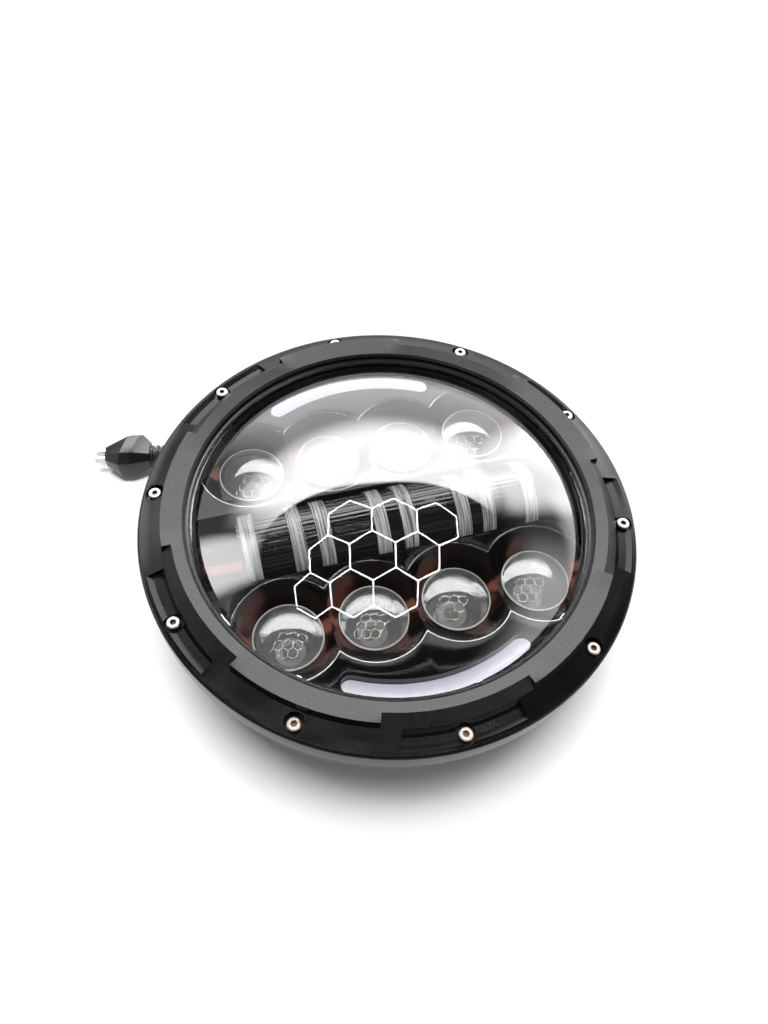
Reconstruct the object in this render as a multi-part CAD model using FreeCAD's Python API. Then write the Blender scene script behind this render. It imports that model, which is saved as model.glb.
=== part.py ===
import FreeCAD, Part
import math
import os

from FreeCAD import Vector

# Round auxiliary light, lying on its fins with the lens up.
# Millimetres, +Z along the optical axis, +Y to the top of the lamp, z = 0 under the fin tips.

# Trim ring
RING_EDGE_ROUND = 1.1
LIP_OVERLAP = 5.8
RING_BORE_CHAMFER = 0.8
LIP_THICKNESS = 4.6
COLLAR_WIDTH = 7.9
COLLAR_HEIGHT = 3.7
COLLAR_DRAFT = 0.6
COLLAR_CHAMFER_WIDTH = 3.2
RING_FLANGE_WIDTH = 8.3
FLANGE_DROP = 2.4
SECTOR_COUNT = 5
SECTOR_FIRST_ANGLE = 54.0
POCKET_EDGE = 0.9
POCKET_DEPTH = 2.3
POCKET_FLOOR_WIDTH = 2.6
POCKET_HALF_ANGLE = 13.5
POCKET_ANGLES = (126.0, 198.0, 270.0, 342.0)
HALF_POCKET_START = 18.0
HALF_POCKET_ANGLE = 15.0
SLOPED_END_ANGLE = 45.0

# Ring screws, socket heads in counterbores
RING_SCREW_COUNT = 10
RING_SCREW_FIRST_ANGLE = 18.0
RING_SCREW_EDGE = 4.6
RING_SCREW_SEAT = 6.7
SCREW_RADIUS = 1.25
HEAD_RADIUS = 2.25
HEAD_HEIGHT = 2.5
HEAD_CHAMFER = 0.35
SOCKET_ACROSS_FLATS = 2.0
SOCKET_DEPTH = 1.2
COUNTERBORE_RADIUS = 3.4
RING_SCREW_BITE = 3.4

# Front lens and its seals
LENS_WALL = 2.8
DOME_GAP = 2.0
DOME_HEIGHT = 21.6
GASKET_THICKNESS = 0.6
GASKET_BEAD_HEIGHT = 1.5
GASKET_BEAD_WIDTH = 1.5
SEAL_THICKNESS = 0.9
SEAL_WIDTH = 4.4

# Rear housing, one die casting with its fins
FLANGE_SETBACK = 0.6
FLANGE_THICKNESS = 3.8
FLANGE_SEAT_WIDTH = 6.8
FLANGE_HAUNCH = 5.2
RIM_RISE = 1.8
RIM_STEP = 5.3
LENS_SEAT_WIDTH = 6.2
BOWL_DRAFT = 2.8
BOWL_WALL = 4.2
FLOOR_THICKNESS = 4.0
WELL_GAP = 7.59
WELL_DEPTH = 18.0
WELL_WALL = 4.0
FIN_HEIGHT = 31.4
FIN_THICKNESS = 2.4
FIN_PITCH = 10.0
FIN_TIP_INSET = 5.0
STANDOFF_RADIUS = 3.0
STANDOFF_HEIGHT = 3.0

# Reflector moulding with eight cups, a middle trough and two arc slots
REFLECTOR_GAP = 0.8
REFLECTOR_HEIGHT = 22.1
REFLECTOR_WALL = 2.0
CUP_PITCH = 30.0
CUPS_PER_ROW = 4
ROW_OFFSET = 34.82
CUP_EDGE_WALL = 1.7
CUP_RIM_RADIUS = 19.0
CUP_DEPTH = 6.2
LENS_POCKET_DEPTH = 2.6
LEDGE_WIDTH = 1.5
FUNNEL_RADIUS = 5.5
FUNNEL_GAP = 1.0
TROUGH_HALF_WIDTH = 14.7
TROUGH_DEPTH = 9.0
POST_RADIUS = 3.0
POST_PIN_RADIUS = 1.5
POST_PIN_LENGTH = 2.5
SIDE_POST_INSET = 9.0
ROW_POST_INSET = 16.0

# Projector lenses and their emitters
PROJECTOR_RADIUS = 12.2
PROJECTOR_EDGE = 2.4
PROJECTOR_SAG = 3.4
EMITTER_SIZE = 5.0
EMITTER_BASE = 0.9
EMITTER_DOME_RADIUS = 2.0

# Light pieces of the middle trough
BAND_SINK = 6.2
BAND_RADIUS = 13.4
BAND_WALL = 1.6
BAND_END_GAP = 3.0
RIB_OFFSETS = (5.0, 25.4, 34.8, 51.4)
RIB_WIDTH = 5.0
RIB_THICKNESS = 0.65
BAR_WIDTH = 3.0
BAR_END_GAP = 1.0
BAR_BASE_WIDTH = 6.0
BAR_BASE_THICKNESS = 1.5
BAR_SEAT_WIDTH = 9.0
BAR_SEAT_STEP = 1.0
STRIP_THICKNESS = 1.2

# Daytime light arcs
ARC_INSET = 5.45
ARC_WIDTH = 6.1
ARC_HALF_ANGLE = 26.7
ARC_ANGLE = 90.0
ARC_RECESS = 0.4
ARC_INNER_DROP = 4.2
ARC_SKIRT = 4.5
ARC_LIP = 1.2
ARC_BASE_THICKNESS = 2.0

# Boards and the heat spreader
SPREADER_GAP = 3.0
SPREADER_THICKNESS = 3.0
SPREADER_SCREW_INSET = 6.0
SPREADER_SCREW_ANGLES = (20.0, 160.0, 200.0, 340.0)
SPREADER_SCREW_BITE = 3.0
LED_BOARD_OVERHANG = 5.0
LED_BOARD_WIDTH = 22.0
BOARD_THICKNESS = 1.6
PAD_THICKNESS = 0.4
SMALL_SCREW_RADIUS = 1.25
SMALL_HEAD_RADIUS = 2.2
SMALL_HEAD_HEIGHT = 1.7
DRIVER_LENGTH = 56.0
DRIVER_WIDTH = 40.0
DRIVER_SCREW_INSET = 4.0
COIL_RADIUS = 6.5
COIL_CORE_RADIUS = 2.8
COIL_HEIGHT = 6.5
CAPACITOR_RADIUS = 3.6
CAPACITOR_LENGTH = 11.0
CHIP_SIZE = 7.0
CHIP_HEIGHT = 1.6
TERMINAL_LENGTH = 12.0
TERMINAL_WIDTH = 7.0
TERMINAL_HEIGHT = 6.5
TERMINAL_ENTRY_HEIGHT = 2.4

# Cable exit, cord and plug
GLAND_ANGLE = 60.0
GLAND_BOSS_RADIUS = 8.0
GLAND_BOSS_LENGTH = 16.0
GLAND_BORE_RADIUS = 4.6
GLAND_PLUG_LENGTH = 10.0
GLAND_FLANGE_RADIUS = 6.0
GLAND_FLANGE_LENGTH = 3.0
GLAND_NOSE_LENGTH = 11.0
GLAND_NOSE_RADIUS = 3.9
GLAND_ROOT_RADIUS = 5.4
GLAND_ROOM = 0.8
LEAD_RADIUS = 2.2
CORD_DIAMETER = 5.0
CORD_ROUTE = (
    (36.0, 62.36, 24.4),
    (42.0, 72.74, 24.4),
    (42.9, 85.2, 23.4),
    (38.0, 97.3, 20.6),
    (27.6, 106.6, 16.4),
    (12.7, 110.9, 11.4),
    (-4.7, 108.8, 6.4),
    (-23.0, 101.6, 3.1),
    (-40.5, 91.0, 3.4),
    (-58.1, 84.0, 8.5),
    (-75.7, 87.65, 8.5),
)
CORD_ARC_SHARE = 0.45
PLUG_AXIS_ANGLE = 168.3
PLUG_HALF_HEIGHT = 8.5
PLUG_HALF_WIDTH = 8.4
PLUG_LENGTH = 20.0
PLUG_FRONT_SHARE = 0.46
PLUG_FACET_SHARE = 0.55
PLUG_NECK_RADIUS = 5.2
PLUG_SHOULDER = 6.1
PLUG_FRONT_TAPER = 9.0
PLUG_LEAN = 0.28
RELIEF_LENGTH = 10.2
RELIEF_RADIUS = 4.6
RELIEF_GROOVE = 1.0
RELIEF_RIBS = 4
BLADE_LENGTH = 9.0
BLADE_OUT = 5.0
BLADE_WIDTH = 3.4
BLADE_THICKNESS = 1.2
BLADE_SPACING = 3.9

# Breather in the side of the bowl
VENT_ANGLE = 250.0
VENT_PAD_RADIUS = 6.0
VENT_PAD_HEIGHT = 1.0
VENT_RADIUS = 4.4
VENT_HEIGHT = 2.6
VENT_STEM_RADIUS = 2.0
VENT_DROP = 19.8

# Clearances
RADIAL_CLEARANCE = 0.4
PROJECTOR_CLEARANCE = 0.2
SLOT_CLEARANCE = 0.15
SCREW_CLEARANCE = 0.2
THREAD_CLEARANCE = 0.05
SEAT_CLEARANCE = 0.05
OVERRUN = 1.0

# Radii and lengths worked out from the sizes above, from the cups outward
LENS_BORE_RADIUS = PROJECTOR_RADIUS + PROJECTOR_CLEARANCE
ROW_HALF_LENGTH = (CUPS_PER_ROW - 1) * CUP_PITCH / 2.0
REFLECTOR_RADIUS = math.hypot(ROW_HALF_LENGTH, ROW_OFFSET) + LENS_BORE_RADIUS + CUP_EDGE_WALL
BOWL_TOP_RADIUS = REFLECTOR_RADIUS + REFLECTOR_GAP
BOWL_BASE_RADIUS = BOWL_TOP_RADIUS - BOWL_DRAFT
LENS_RADIUS = BOWL_TOP_RADIUS + LENS_SEAT_WIDTH
RING_BORE_RADIUS = LENS_RADIUS - LIP_OVERLAP
DOME_FOOT_RADIUS = RING_BORE_RADIUS - DOME_GAP
COLLAR_RADIUS = RING_BORE_RADIUS + COLLAR_WIDTH
COLLAR_FOOT_RADIUS = COLLAR_RADIUS + COLLAR_DRAFT
RING_RADIUS = COLLAR_FOOT_RADIUS + RING_FLANGE_WIDTH
FLANGE_EDGE_RADIUS = RING_RADIUS - RING_EDGE_ROUND
RING_SCREW_CIRCLE = RING_RADIUS - RING_SCREW_EDGE
POCKET_WIDTH = RING_FLANGE_WIDTH - RING_EDGE_ROUND - POCKET_EDGE
FLANGE_RADIUS = RING_RADIUS - FLANGE_SETBACK
FIN_TIP_RADIUS = BOWL_BASE_RADIUS - FIN_TIP_INSET
SPREADER_RADIUS = BOWL_BASE_RADIUS - SPREADER_GAP
SPREADER_SCREW_CIRCLE = SPREADER_RADIUS - SPREADER_SCREW_INSET
LED_BOARD_LENGTH = 2.0 * (ROW_HALF_LENGTH + LED_BOARD_OVERHANG)
ARC_RADIUS = REFLECTOR_RADIUS - ARC_INSET
ARC_BASE_WIDTH = ARC_WIDTH + 2.0 * ARC_LIP
SIDE_POST_RADIUS = REFLECTOR_RADIUS - SIDE_POST_INSET
ROW_POST_RADIUS = REFLECTOR_RADIUS - ROW_POST_INSET
BAR_BASE_LENGTH = 2.0 * (SIDE_POST_RADIUS - POST_RADIUS - BAR_END_GAP)
BAR_LENGTH = BAR_BASE_LENGTH - BAR_BASE_WIDTH
BAND_LENGTH = BAR_BASE_LENGTH - 2.0 * BAND_END_GAP
TROUGH_RADIUS = (TROUGH_HALF_WIDTH ** 2 + TROUGH_DEPTH ** 2) / (2.0 * TROUGH_DEPTH)
WELL_RADIUS = math.hypot(DRIVER_LENGTH, DRIVER_WIDTH) / 2.0 + WELL_GAP
GLAND_BOSS_END = WELL_RADIUS + GLAND_BOSS_LENGTH
VENT_PAD_END = BOWL_TOP_RADIUS + BOWL_WALL + VENT_PAD_HEIGHT

# Levels worked out from the sizes above
FLOOR_UNDER_Z = FIN_HEIGHT
PLATFORM_Z = FLOOR_UNDER_Z + FLOOR_THICKNESS
WELL_FLOOR_Z = PLATFORM_Z - WELL_DEPTH
SPREADER_TOP_Z = PLATFORM_Z + SPREADER_THICKNESS
FACE_Z = SPREADER_TOP_Z + REFLECTOR_HEIGHT
RIM_Z = FACE_Z + RIM_RISE
FLANGE_TOP_Z = RIM_Z - RIM_STEP
FLANGE_UNDER_Z = FLANGE_TOP_Z - FLANGE_THICKNESS
HAUNCH_Z = FLANGE_UNDER_Z - FLANGE_HAUNCH
LENS_UNDER_Z = RIM_Z + SEAL_THICKNESS
LENS_RIM_Z = LENS_UNDER_Z + LENS_WALL
LIP_UNDER_Z = LENS_RIM_Z + GASKET_THICKNESS
COLLAR_TOP_Z = LIP_UNDER_Z + LIP_THICKNESS
COLLAR_FOOT_Z = COLLAR_TOP_Z - COLLAR_HEIGHT
SCREW_SEAT_Z = FLANGE_TOP_Z + RING_SCREW_SEAT
BOARD_UNDER_Z = SPREADER_TOP_Z + PAD_THICKNESS
BOARD_TOP_Z = BOARD_UNDER_Z + BOARD_THICKNESS
DRIVER_UNDER_Z = WELL_FLOOR_Z + STANDOFF_HEIGHT
DRIVER_TOP_Z = DRIVER_UNDER_Z + BOARD_THICKNESS
LEAD_Z = DRIVER_TOP_Z + TERMINAL_ENTRY_HEIGHT
FLANGE_EDGE_Z = COLLAR_FOOT_Z - FLANGE_DROP
THROAT_Z = FACE_Z - CUP_DEPTH
LEDGE_Z = THROAT_Z - LENS_POCKET_DEPTH
FUNNEL_END_Z = BOARD_TOP_Z + FUNNEL_GAP
TROUGH_AXIS_Z = FACE_Z - TROUGH_DEPTH + TROUGH_RADIUS
TROUGH_BOTTOM_Z = FACE_Z - TROUGH_DEPTH
BAND_AXIS_Z = FACE_Z - BAND_SINK
ARC_SEAT_Z = FACE_Z - ARC_SKIRT
BAR_SEAT_Z = TROUGH_BOTTOM_Z - REFLECTOR_WALL - BAR_SEAT_STEP
SECTOR_STEP = 360.0 / SECTOR_COUNT
SECTOR_HALF_ANGLE = SECTOR_STEP / 4.0
CENTRE = Vector(0, 0, 0)
UP = Vector(0, 0, 1)


def polar(radius, angle, z=0.0):
    """Point at a radius and an angle in degrees about the optical axis."""
    turn = math.radians(angle)
    return Vector(radius * math.cos(turn), radius * math.sin(turn), z)


def section_face(points):
    """Flat face in the XZ plane from (radius, z) corners; a pair of corners is an arc's middle and end."""
    edges = []
    start = Vector(points[0][0], 0, points[0][1])
    place = start
    for point in points[1:]:
        if len(point) == 4:
            middle = Vector(point[0], 0, point[1])
            end = Vector(point[2], 0, point[3])
            edges.append(Part.Arc(place, middle, end).toShape())
        else:
            end = Vector(point[0], 0, point[1])
            edges.append(Part.LineSegment(place, end).toShape())
        place = end
    if place.sub(start).Length > 0:
        edges.append(Part.LineSegment(place, start).toShape())
    return Part.Face(Part.Wire(edges))


def turned(points, span=360.0, start=0.0):
    """Solid turned about the optical axis from (radius, z) corners."""
    solid = section_face(points).revolve(CENTRE, UP, span)
    solid.rotate(CENTRE, UP, start)
    return solid


def moved(shape, x, y, z=0.0):
    """Copy of a shape shifted to a place."""
    copy = shape.copy()
    copy.translate(Vector(x, y, z))
    return copy


def spun(shape, angle):
    """Copy of a shape turned about the optical axis."""
    copy = shape.copy()
    copy.rotate(CENTRE, UP, angle)
    return copy


def block(length, width, z_low, z_high, x=0.0, y=0.0):
    """Box centred on x and y between two levels."""
    corner = Vector(x - length / 2.0, y - width / 2.0, z_low)
    return Part.makeBox(length, width, z_high - z_low, corner)


def rod(radius, z_low, z_high, x=0.0, y=0.0):
    """Upright cylinder between two levels."""
    return Part.makeCylinder(radius, z_high - z_low, Vector(x, y, z_low), UP)


def spoke(radius, r_low, r_high, angle, z):
    """Cylinder that points outward from the optical axis."""
    start = polar(r_low, angle, z)
    return Part.makeCylinder(radius, r_high - r_low, start, polar(1.0, angle))


def joined(shapes):
    """One solid from overlapping shapes."""
    return shapes[0].fuse(shapes[1:]).removeSplitter()


def sphere_radius(foot, height):
    """Radius of the sphere whose cap has this foot radius and height."""
    return (foot ** 2 + height ** 2) / (2.0 * height)


def cap_point(radius, foot, height, top_z):
    """Point on a spherical cap at a radius from its axis, as (radius, z)."""
    ball = sphere_radius(foot, height)
    return radius, top_z - ball + math.sqrt(ball ** 2 - radius ** 2)


def flange_z(radius):
    """Level of the ring's sloping flange at a radius."""
    share = (radius - COLLAR_FOOT_RADIUS) / (FLANGE_EDGE_RADIUS - COLLAR_FOOT_RADIUS)
    return COLLAR_FOOT_Z - FLANGE_DROP * share


def sloped_end(angle, side, top_z):
    """Half space beyond a radial line, leaning in towards the middle below the top level."""
    size = RING_RADIUS * 2.0
    slab = Part.makeBox(size, size, size, Vector(0, 0, -size / 2.0))
    slab.rotate(CENTRE, Vector(1, 0, 0), SLOPED_END_ANGLE)
    if side < 0:
        slab = slab.mirror(CENTRE, Vector(0, 1, 0))
    slab.translate(Vector(0, 0, top_z))
    return spun(slab, angle)


def ring_recess(points, low_angle, high_angle, top_z):
    """Tool turned over part of the ring, with sloped ends."""
    tool = turned(points, high_angle - low_angle, low_angle)
    tool = tool.cut(sloped_end(low_angle, -1, top_z))
    return tool.cut(sloped_end(high_angle, 1, top_z))


def trim_ring():
    """Cast ring with a raised collar, chamfered sectors, pockets and counterbores."""
    round_turn = RING_EDGE_ROUND * (1.0 - math.sqrt(0.5))
    body = turned((
        (RING_BORE_RADIUS, LIP_UNDER_Z),
        (RING_BORE_RADIUS, COLLAR_TOP_Z - RING_BORE_CHAMFER),
        (RING_BORE_RADIUS + RING_BORE_CHAMFER, COLLAR_TOP_Z),
        (COLLAR_RADIUS, COLLAR_TOP_Z),
        (COLLAR_FOOT_RADIUS, COLLAR_FOOT_Z),
        (FLANGE_EDGE_RADIUS, FLANGE_EDGE_Z),
        (RING_RADIUS - round_turn, FLANGE_EDGE_Z - round_turn,
         RING_RADIUS, FLANGE_EDGE_Z - RING_EDGE_ROUND),
        (RING_RADIUS, FLANGE_TOP_Z),
        (LENS_RADIUS + RADIAL_CLEARANCE, FLANGE_TOP_Z),
        (LENS_RADIUS + RADIAL_CLEARANCE, LIP_UNDER_Z),
    ))
    chamfer = (
        (COLLAR_RADIUS - COLLAR_CHAMFER_WIDTH, COLLAR_TOP_Z),
        (COLLAR_RADIUS - COLLAR_CHAMFER_WIDTH, COLLAR_TOP_Z + OVERRUN),
        (COLLAR_FOOT_RADIUS, COLLAR_TOP_Z + OVERRUN),
        (COLLAR_FOOT_RADIUS, COLLAR_FOOT_Z),
    )
    tools = []
    for index in range(SECTOR_COUNT):
        middle = SECTOR_FIRST_ANGLE + index * SECTOR_STEP
        low = middle - SECTOR_HALF_ANGLE
        high = middle + SECTOR_HALF_ANGLE
        tools.append(ring_recess(chamfer, low, high, COLLAR_TOP_Z))
    side = (POCKET_WIDTH - POCKET_FLOOR_WIDTH) / 2.0
    inner = COLLAR_FOOT_RADIUS
    outer = inner + POCKET_WIDTH
    floor_z = flange_z(inner + side) - POCKET_DEPTH
    pocket = (
        (inner, flange_z(inner)),
        (inner, COLLAR_TOP_Z),
        (outer, COLLAR_TOP_Z),
        (outer, flange_z(outer)),
        (outer - side, floor_z),
        (inner + side, floor_z),
    )
    for middle in POCKET_ANGLES:
        low = middle - POCKET_HALF_ANGLE
        high = middle + POCKET_HALF_ANGLE
        tools.append(ring_recess(pocket, low, high, flange_z(inner)))
    half_end = HALF_POCKET_START + HALF_POCKET_ANGLE
    tools.append(ring_recess(pocket, HALF_POCKET_START, half_end, flange_z(inner)))
    for x, y in ring_screw_places():
        tools.append(rod(COUNTERBORE_RADIUS, SCREW_SEAT_Z, COLLAR_TOP_Z, x, y))
        tools.append(rod(SCREW_RADIUS + SCREW_CLEARANCE, FLANGE_TOP_Z - OVERRUN, COLLAR_TOP_Z, x, y))
    return body.cut(tools)


def ring_screw_places():
    """Centres of the ring screws."""
    step = 360.0 / RING_SCREW_COUNT
    places = []
    for index in range(RING_SCREW_COUNT):
        point = polar(RING_SCREW_CIRCLE, RING_SCREW_FIRST_ANGLE + index * step)
        places.append((point.x, point.y))
    return places


def socket_screw(seat_z, bite_z):
    """Socket head screw on the optical axis, head on the seat level."""
    top_z = seat_z + HEAD_HEIGHT
    body = turned((
        (0, bite_z),
        (SCREW_RADIUS, bite_z),
        (SCREW_RADIUS, seat_z),
        (HEAD_RADIUS, seat_z),
        (HEAD_RADIUS, top_z - HEAD_CHAMFER),
        (HEAD_RADIUS - HEAD_CHAMFER, top_z),
        (0, top_z),
    ))
    corner = SOCKET_ACROSS_FLATS / math.sqrt(3.0)
    hexagon = [polar(corner, 60.0 * turn, top_z - SOCKET_DEPTH) for turn in range(7)]
    socket = Part.Face(Part.makePolygon(hexagon)).extrude(UP * (SOCKET_DEPTH + OVERRUN))
    return body.cut(socket)


def small_screw(seat_z, bite_z):
    """Pan head board screw on the optical axis, head on the seat level."""
    top_z = seat_z + SMALL_HEAD_HEIGHT
    return turned((
        (0, bite_z),
        (SMALL_SCREW_RADIUS, bite_z),
        (SMALL_SCREW_RADIUS, seat_z),
        (SMALL_HEAD_RADIUS, seat_z),
        (SMALL_HEAD_RADIUS, top_z - HEAD_CHAMFER),
        (SMALL_HEAD_RADIUS - HEAD_CHAMFER, top_z),
        (0, top_z),
    ))


def screw_group(screw, places):
    """The same screw at every place, as separate solids."""
    return Part.makeCompound([moved(screw, x, y) for x, y in places])


def ring_screws():
    """Ten screws that hold the ring down on the housing flange."""
    screw = socket_screw(SCREW_SEAT_Z, FLANGE_TOP_Z - RING_SCREW_BITE)
    return screw_group(screw, ring_screw_places())


def front_lens():
    """Clear domed lens with a flat clamping rim."""
    top_z = LENS_RIM_Z + DOME_HEIGHT
    inner_foot = DOME_FOOT_RADIUS - LENS_WALL
    inner_top = top_z - LENS_WALL
    inner_height = inner_top - LENS_UNDER_Z
    outer_mid = cap_point(DOME_FOOT_RADIUS / 2.0, DOME_FOOT_RADIUS, DOME_HEIGHT, top_z)
    inner_mid = cap_point(inner_foot / 2.0, inner_foot, inner_height, inner_top)
    return turned((
        (0, inner_top),
        (0, top_z),
        outer_mid + (DOME_FOOT_RADIUS, LENS_RIM_Z),
        (LENS_RADIUS, LENS_RIM_Z),
        (LENS_RADIUS, LENS_UNDER_Z),
        (inner_foot, LENS_UNDER_Z),
        inner_mid + (0, inner_top),
    ))


def lens_gasket():
    """Rubber ring between the lens rim and the ring's lip, with a bead that shows."""
    bead_outer = RING_BORE_RADIUS - SEAT_CLEARANCE
    bead_inner = bead_outer - GASKET_BEAD_WIDTH
    groove = GASKET_BEAD_WIDTH / 3.0
    bead_z = LENS_RIM_Z + GASKET_BEAD_HEIGHT
    step_z = LENS_RIM_Z + GASKET_BEAD_HEIGHT / 2.0
    return turned((
        (bead_inner, LENS_RIM_Z),
        (bead_inner, step_z),
        (bead_inner + groove, bead_z),
        (bead_outer, bead_z),
        (bead_outer, LIP_UNDER_Z),
        (LENS_RADIUS, LIP_UNDER_Z),
        (LENS_RADIUS, LENS_RIM_Z),
    ))


def housing_seal():
    """Flat seal between the lens rim and the housing rim."""
    middle = (BOWL_TOP_RADIUS + LENS_RADIUS) / 2.0
    return turned((
        (middle - SEAL_WIDTH / 2.0, RIM_Z),
        (middle + SEAL_WIDTH / 2.0, RIM_Z),
        (middle + SEAL_WIDTH / 2.0, LENS_UNDER_Z),
        (middle - SEAL_WIDTH / 2.0, LENS_UNDER_Z),
    ))


def fins():
    """Parallel cooling fins, trimmed to a tapering round outline."""
    fin_top = FLOOR_UNDER_Z + FLOOR_THICKNESS / 2.0
    root_radius = BOWL_BASE_RADIUS + BOWL_WALL - FIN_THICKNESS
    outline = turned((
        (0, 0),
        (FIN_TIP_RADIUS, 0),
        (root_radius, FLOOR_UNDER_Z),
        (root_radius, fin_top),
        (0, fin_top),
    ))
    count = int((FIN_TIP_RADIUS - FIN_THICKNESS) / FIN_PITCH)
    plates = []
    for index in range(-count, count + 1):
        plate = block(FIN_THICKNESS, RING_RADIUS * 2.0, 0, fin_top, index * FIN_PITCH)
        plates.append(plate.common(outline))
    return plates


def rear_housing():
    """Die-cast bowl with flange, driver well, cable boss, breather pad and fins."""
    bowl_foot = BOWL_BASE_RADIUS + BOWL_WALL
    well_outer = WELL_RADIUS + WELL_WALL
    outside = turned((
        (0, WELL_FLOOR_Z - FLOOR_THICKNESS),
        (well_outer, WELL_FLOOR_Z - FLOOR_THICKNESS),
        (well_outer, FLOOR_UNDER_Z),
        (bowl_foot, FLOOR_UNDER_Z),
        (BOWL_TOP_RADIUS + BOWL_WALL, HAUNCH_Z),
        (FLANGE_RADIUS - FLANGE_SEAT_WIDTH, FLANGE_UNDER_Z),
        (FLANGE_RADIUS, FLANGE_UNDER_Z),
        (FLANGE_RADIUS, FLANGE_TOP_Z),
        (LENS_RADIUS, FLANGE_TOP_Z),
        (LENS_RADIUS, RIM_Z),
        (0, RIM_Z),
    ))
    adds = [outside] + fins()
    adds.append(spoke(GLAND_BOSS_RADIUS, WELL_RADIUS + OVERRUN, GLAND_BOSS_END, GLAND_ANGLE, LEAD_Z))
    adds.append(spoke(VENT_PAD_RADIUS, BOWL_BASE_RADIUS + OVERRUN, VENT_PAD_END, VENT_ANGLE, vent_z()))
    cavity = turned((
        (0, WELL_FLOOR_Z),
        (WELL_RADIUS, WELL_FLOOR_Z),
        (WELL_RADIUS, PLATFORM_Z),
        (BOWL_BASE_RADIUS, PLATFORM_Z),
        (BOWL_TOP_RADIUS, RIM_Z),
        (BOWL_TOP_RADIUS, RIM_Z + OVERRUN),
        (0, RIM_Z + OVERRUN),
    ))
    body = joined(adds).cut(cavity)
    posts = []
    for x, y in driver_screw_places():
        posts.append(rod(STANDOFF_RADIUS, WELL_FLOOR_Z - OVERRUN, DRIVER_UNDER_Z, x, y))
    body = joined([body] + posts)
    thread = SCREW_RADIUS + THREAD_CLEARANCE
    small_thread = SMALL_SCREW_RADIUS + THREAD_CLEARANCE
    tools = []
    for x, y in ring_screw_places():
        tools.append(rod(thread, HAUNCH_Z, RIM_Z, x, y))
    for x, y in spreader_screw_places():
        low = PLATFORM_Z - SPREADER_SCREW_BITE - THREAD_CLEARANCE
        tools.append(rod(thread, low, PLATFORM_Z + OVERRUN, x, y))
    for x, y in driver_screw_places():
        tools.append(rod(small_thread, WELL_FLOOR_Z, DRIVER_UNDER_Z + OVERRUN, x, y))
    tools.append(spoke(GLAND_BORE_RADIUS, WELL_RADIUS - OVERRUN, GLAND_BOSS_END + OVERRUN,
                       GLAND_ANGLE, LEAD_Z))
    tools.append(spoke(GLAND_FLANGE_RADIUS + GLAND_ROOM, GLAND_BOSS_END, RING_RADIUS,
                       GLAND_ANGLE, LEAD_Z))
    tools.append(spoke(VENT_STEM_RADIUS + SCREW_CLEARANCE, BOWL_BASE_RADIUS - OVERRUN,
                       VENT_PAD_END + OVERRUN, VENT_ANGLE, vent_z()))
    return body.cut(tools)


def vent_z():
    """Level of the breather's axis."""
    return RIM_Z - VENT_DROP


def spreader_screw_places():
    """Centres of the screws that hold the heat spreader."""
    points = [polar(SPREADER_SCREW_CIRCLE, angle) for angle in SPREADER_SCREW_ANGLES]
    return [(point.x, point.y) for point in points]


def driver_screw_places():
    """Centres of the driver board's corner screws."""
    x = DRIVER_LENGTH / 2.0 - DRIVER_SCREW_INSET
    y = DRIVER_WIDTH / 2.0 - DRIVER_SCREW_INSET
    return [(x, y), (-x, y), (-x, -y), (x, -y)]


def board_screw_places(side):
    """Centres of the screws of one light board."""
    return [(-CUP_PITCH, side * ROW_OFFSET), (CUP_PITCH, side * ROW_OFFSET)]


def cup_places():
    """Centres of the eight cups, upper row first, from left to right."""
    places = []
    for side in (1, -1):
        for column in range(CUPS_PER_ROW):
            x = column * CUP_PITCH - ROW_HALF_LENGTH
            places.append((x, side * ROW_OFFSET))
    return places


def post_places():
    """Centres of the reflector's posts."""
    return [(0, ROW_POST_RADIUS), (0, -ROW_POST_RADIUS), (SIDE_POST_RADIUS, 0), (-SIDE_POST_RADIUS, 0)]


def cup_ball():
    """Centre level and radius of the sphere that forms a cup's bowl."""
    spread = CUP_RIM_RADIUS ** 2 - LENS_BORE_RADIUS ** 2
    lift = (spread / CUP_DEPTH - CUP_DEPTH) / 2.0
    return FACE_Z + lift, math.hypot(CUP_RIM_RADIUS, lift)


def bowl_corner(radius, grow):
    """Point on the cup's bowl sphere at a radius, with the wall added outside, as (radius, z)."""
    centre_z, ball = cup_ball()
    return radius, centre_z - math.sqrt((ball + grow) ** 2 - radius ** 2)


def cup_outside():
    """Outer form of one cup: bowl, lens pocket and funnel."""
    wall = REFLECTOR_WALL
    centre_z, ball = cup_ball()
    top_radius = math.sqrt((ball + wall) ** 2 - (centre_z - FACE_Z) ** 2)
    pocket = LENS_BORE_RADIUS + wall
    return turned((
        (0, FUNNEL_END_Z),
        (FUNNEL_RADIUS + wall, FUNNEL_END_Z),
        (LENS_BORE_RADIUS, LEDGE_Z - wall),
        (pocket, LEDGE_Z - wall),
        bowl_corner(pocket, wall),
        bowl_corner((pocket + top_radius) / 2.0, wall) + (top_radius, FACE_Z),
        (0, FACE_Z),
    ))


def cup_inside():
    """Hollow of one cup, from the funnel's end to above the face."""
    middle = (LENS_BORE_RADIUS + CUP_RIM_RADIUS) / 2.0
    return turned((
        (0, FUNNEL_END_Z - OVERRUN),
        (FUNNEL_RADIUS, FUNNEL_END_Z - OVERRUN),
        (FUNNEL_RADIUS, FUNNEL_END_Z),
        (LENS_BORE_RADIUS - LEDGE_WIDTH, LEDGE_Z),
        (LENS_BORE_RADIUS, LEDGE_Z),
        bowl_corner(LENS_BORE_RADIUS, 0),
        bowl_corner(middle, 0) + (CUP_RIM_RADIUS, FACE_Z),
        (CUP_RIM_RADIUS, FACE_Z + OVERRUN),
        (0, FACE_Z + OVERRUN),
    ))


def lying_rod(radius, length, z):
    """Cylinder along the lamp's width at a level."""
    start = Vector(-length / 2.0, 0, z)
    return Part.makeCylinder(radius, length, start, Vector(1, 0, 0))


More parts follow.
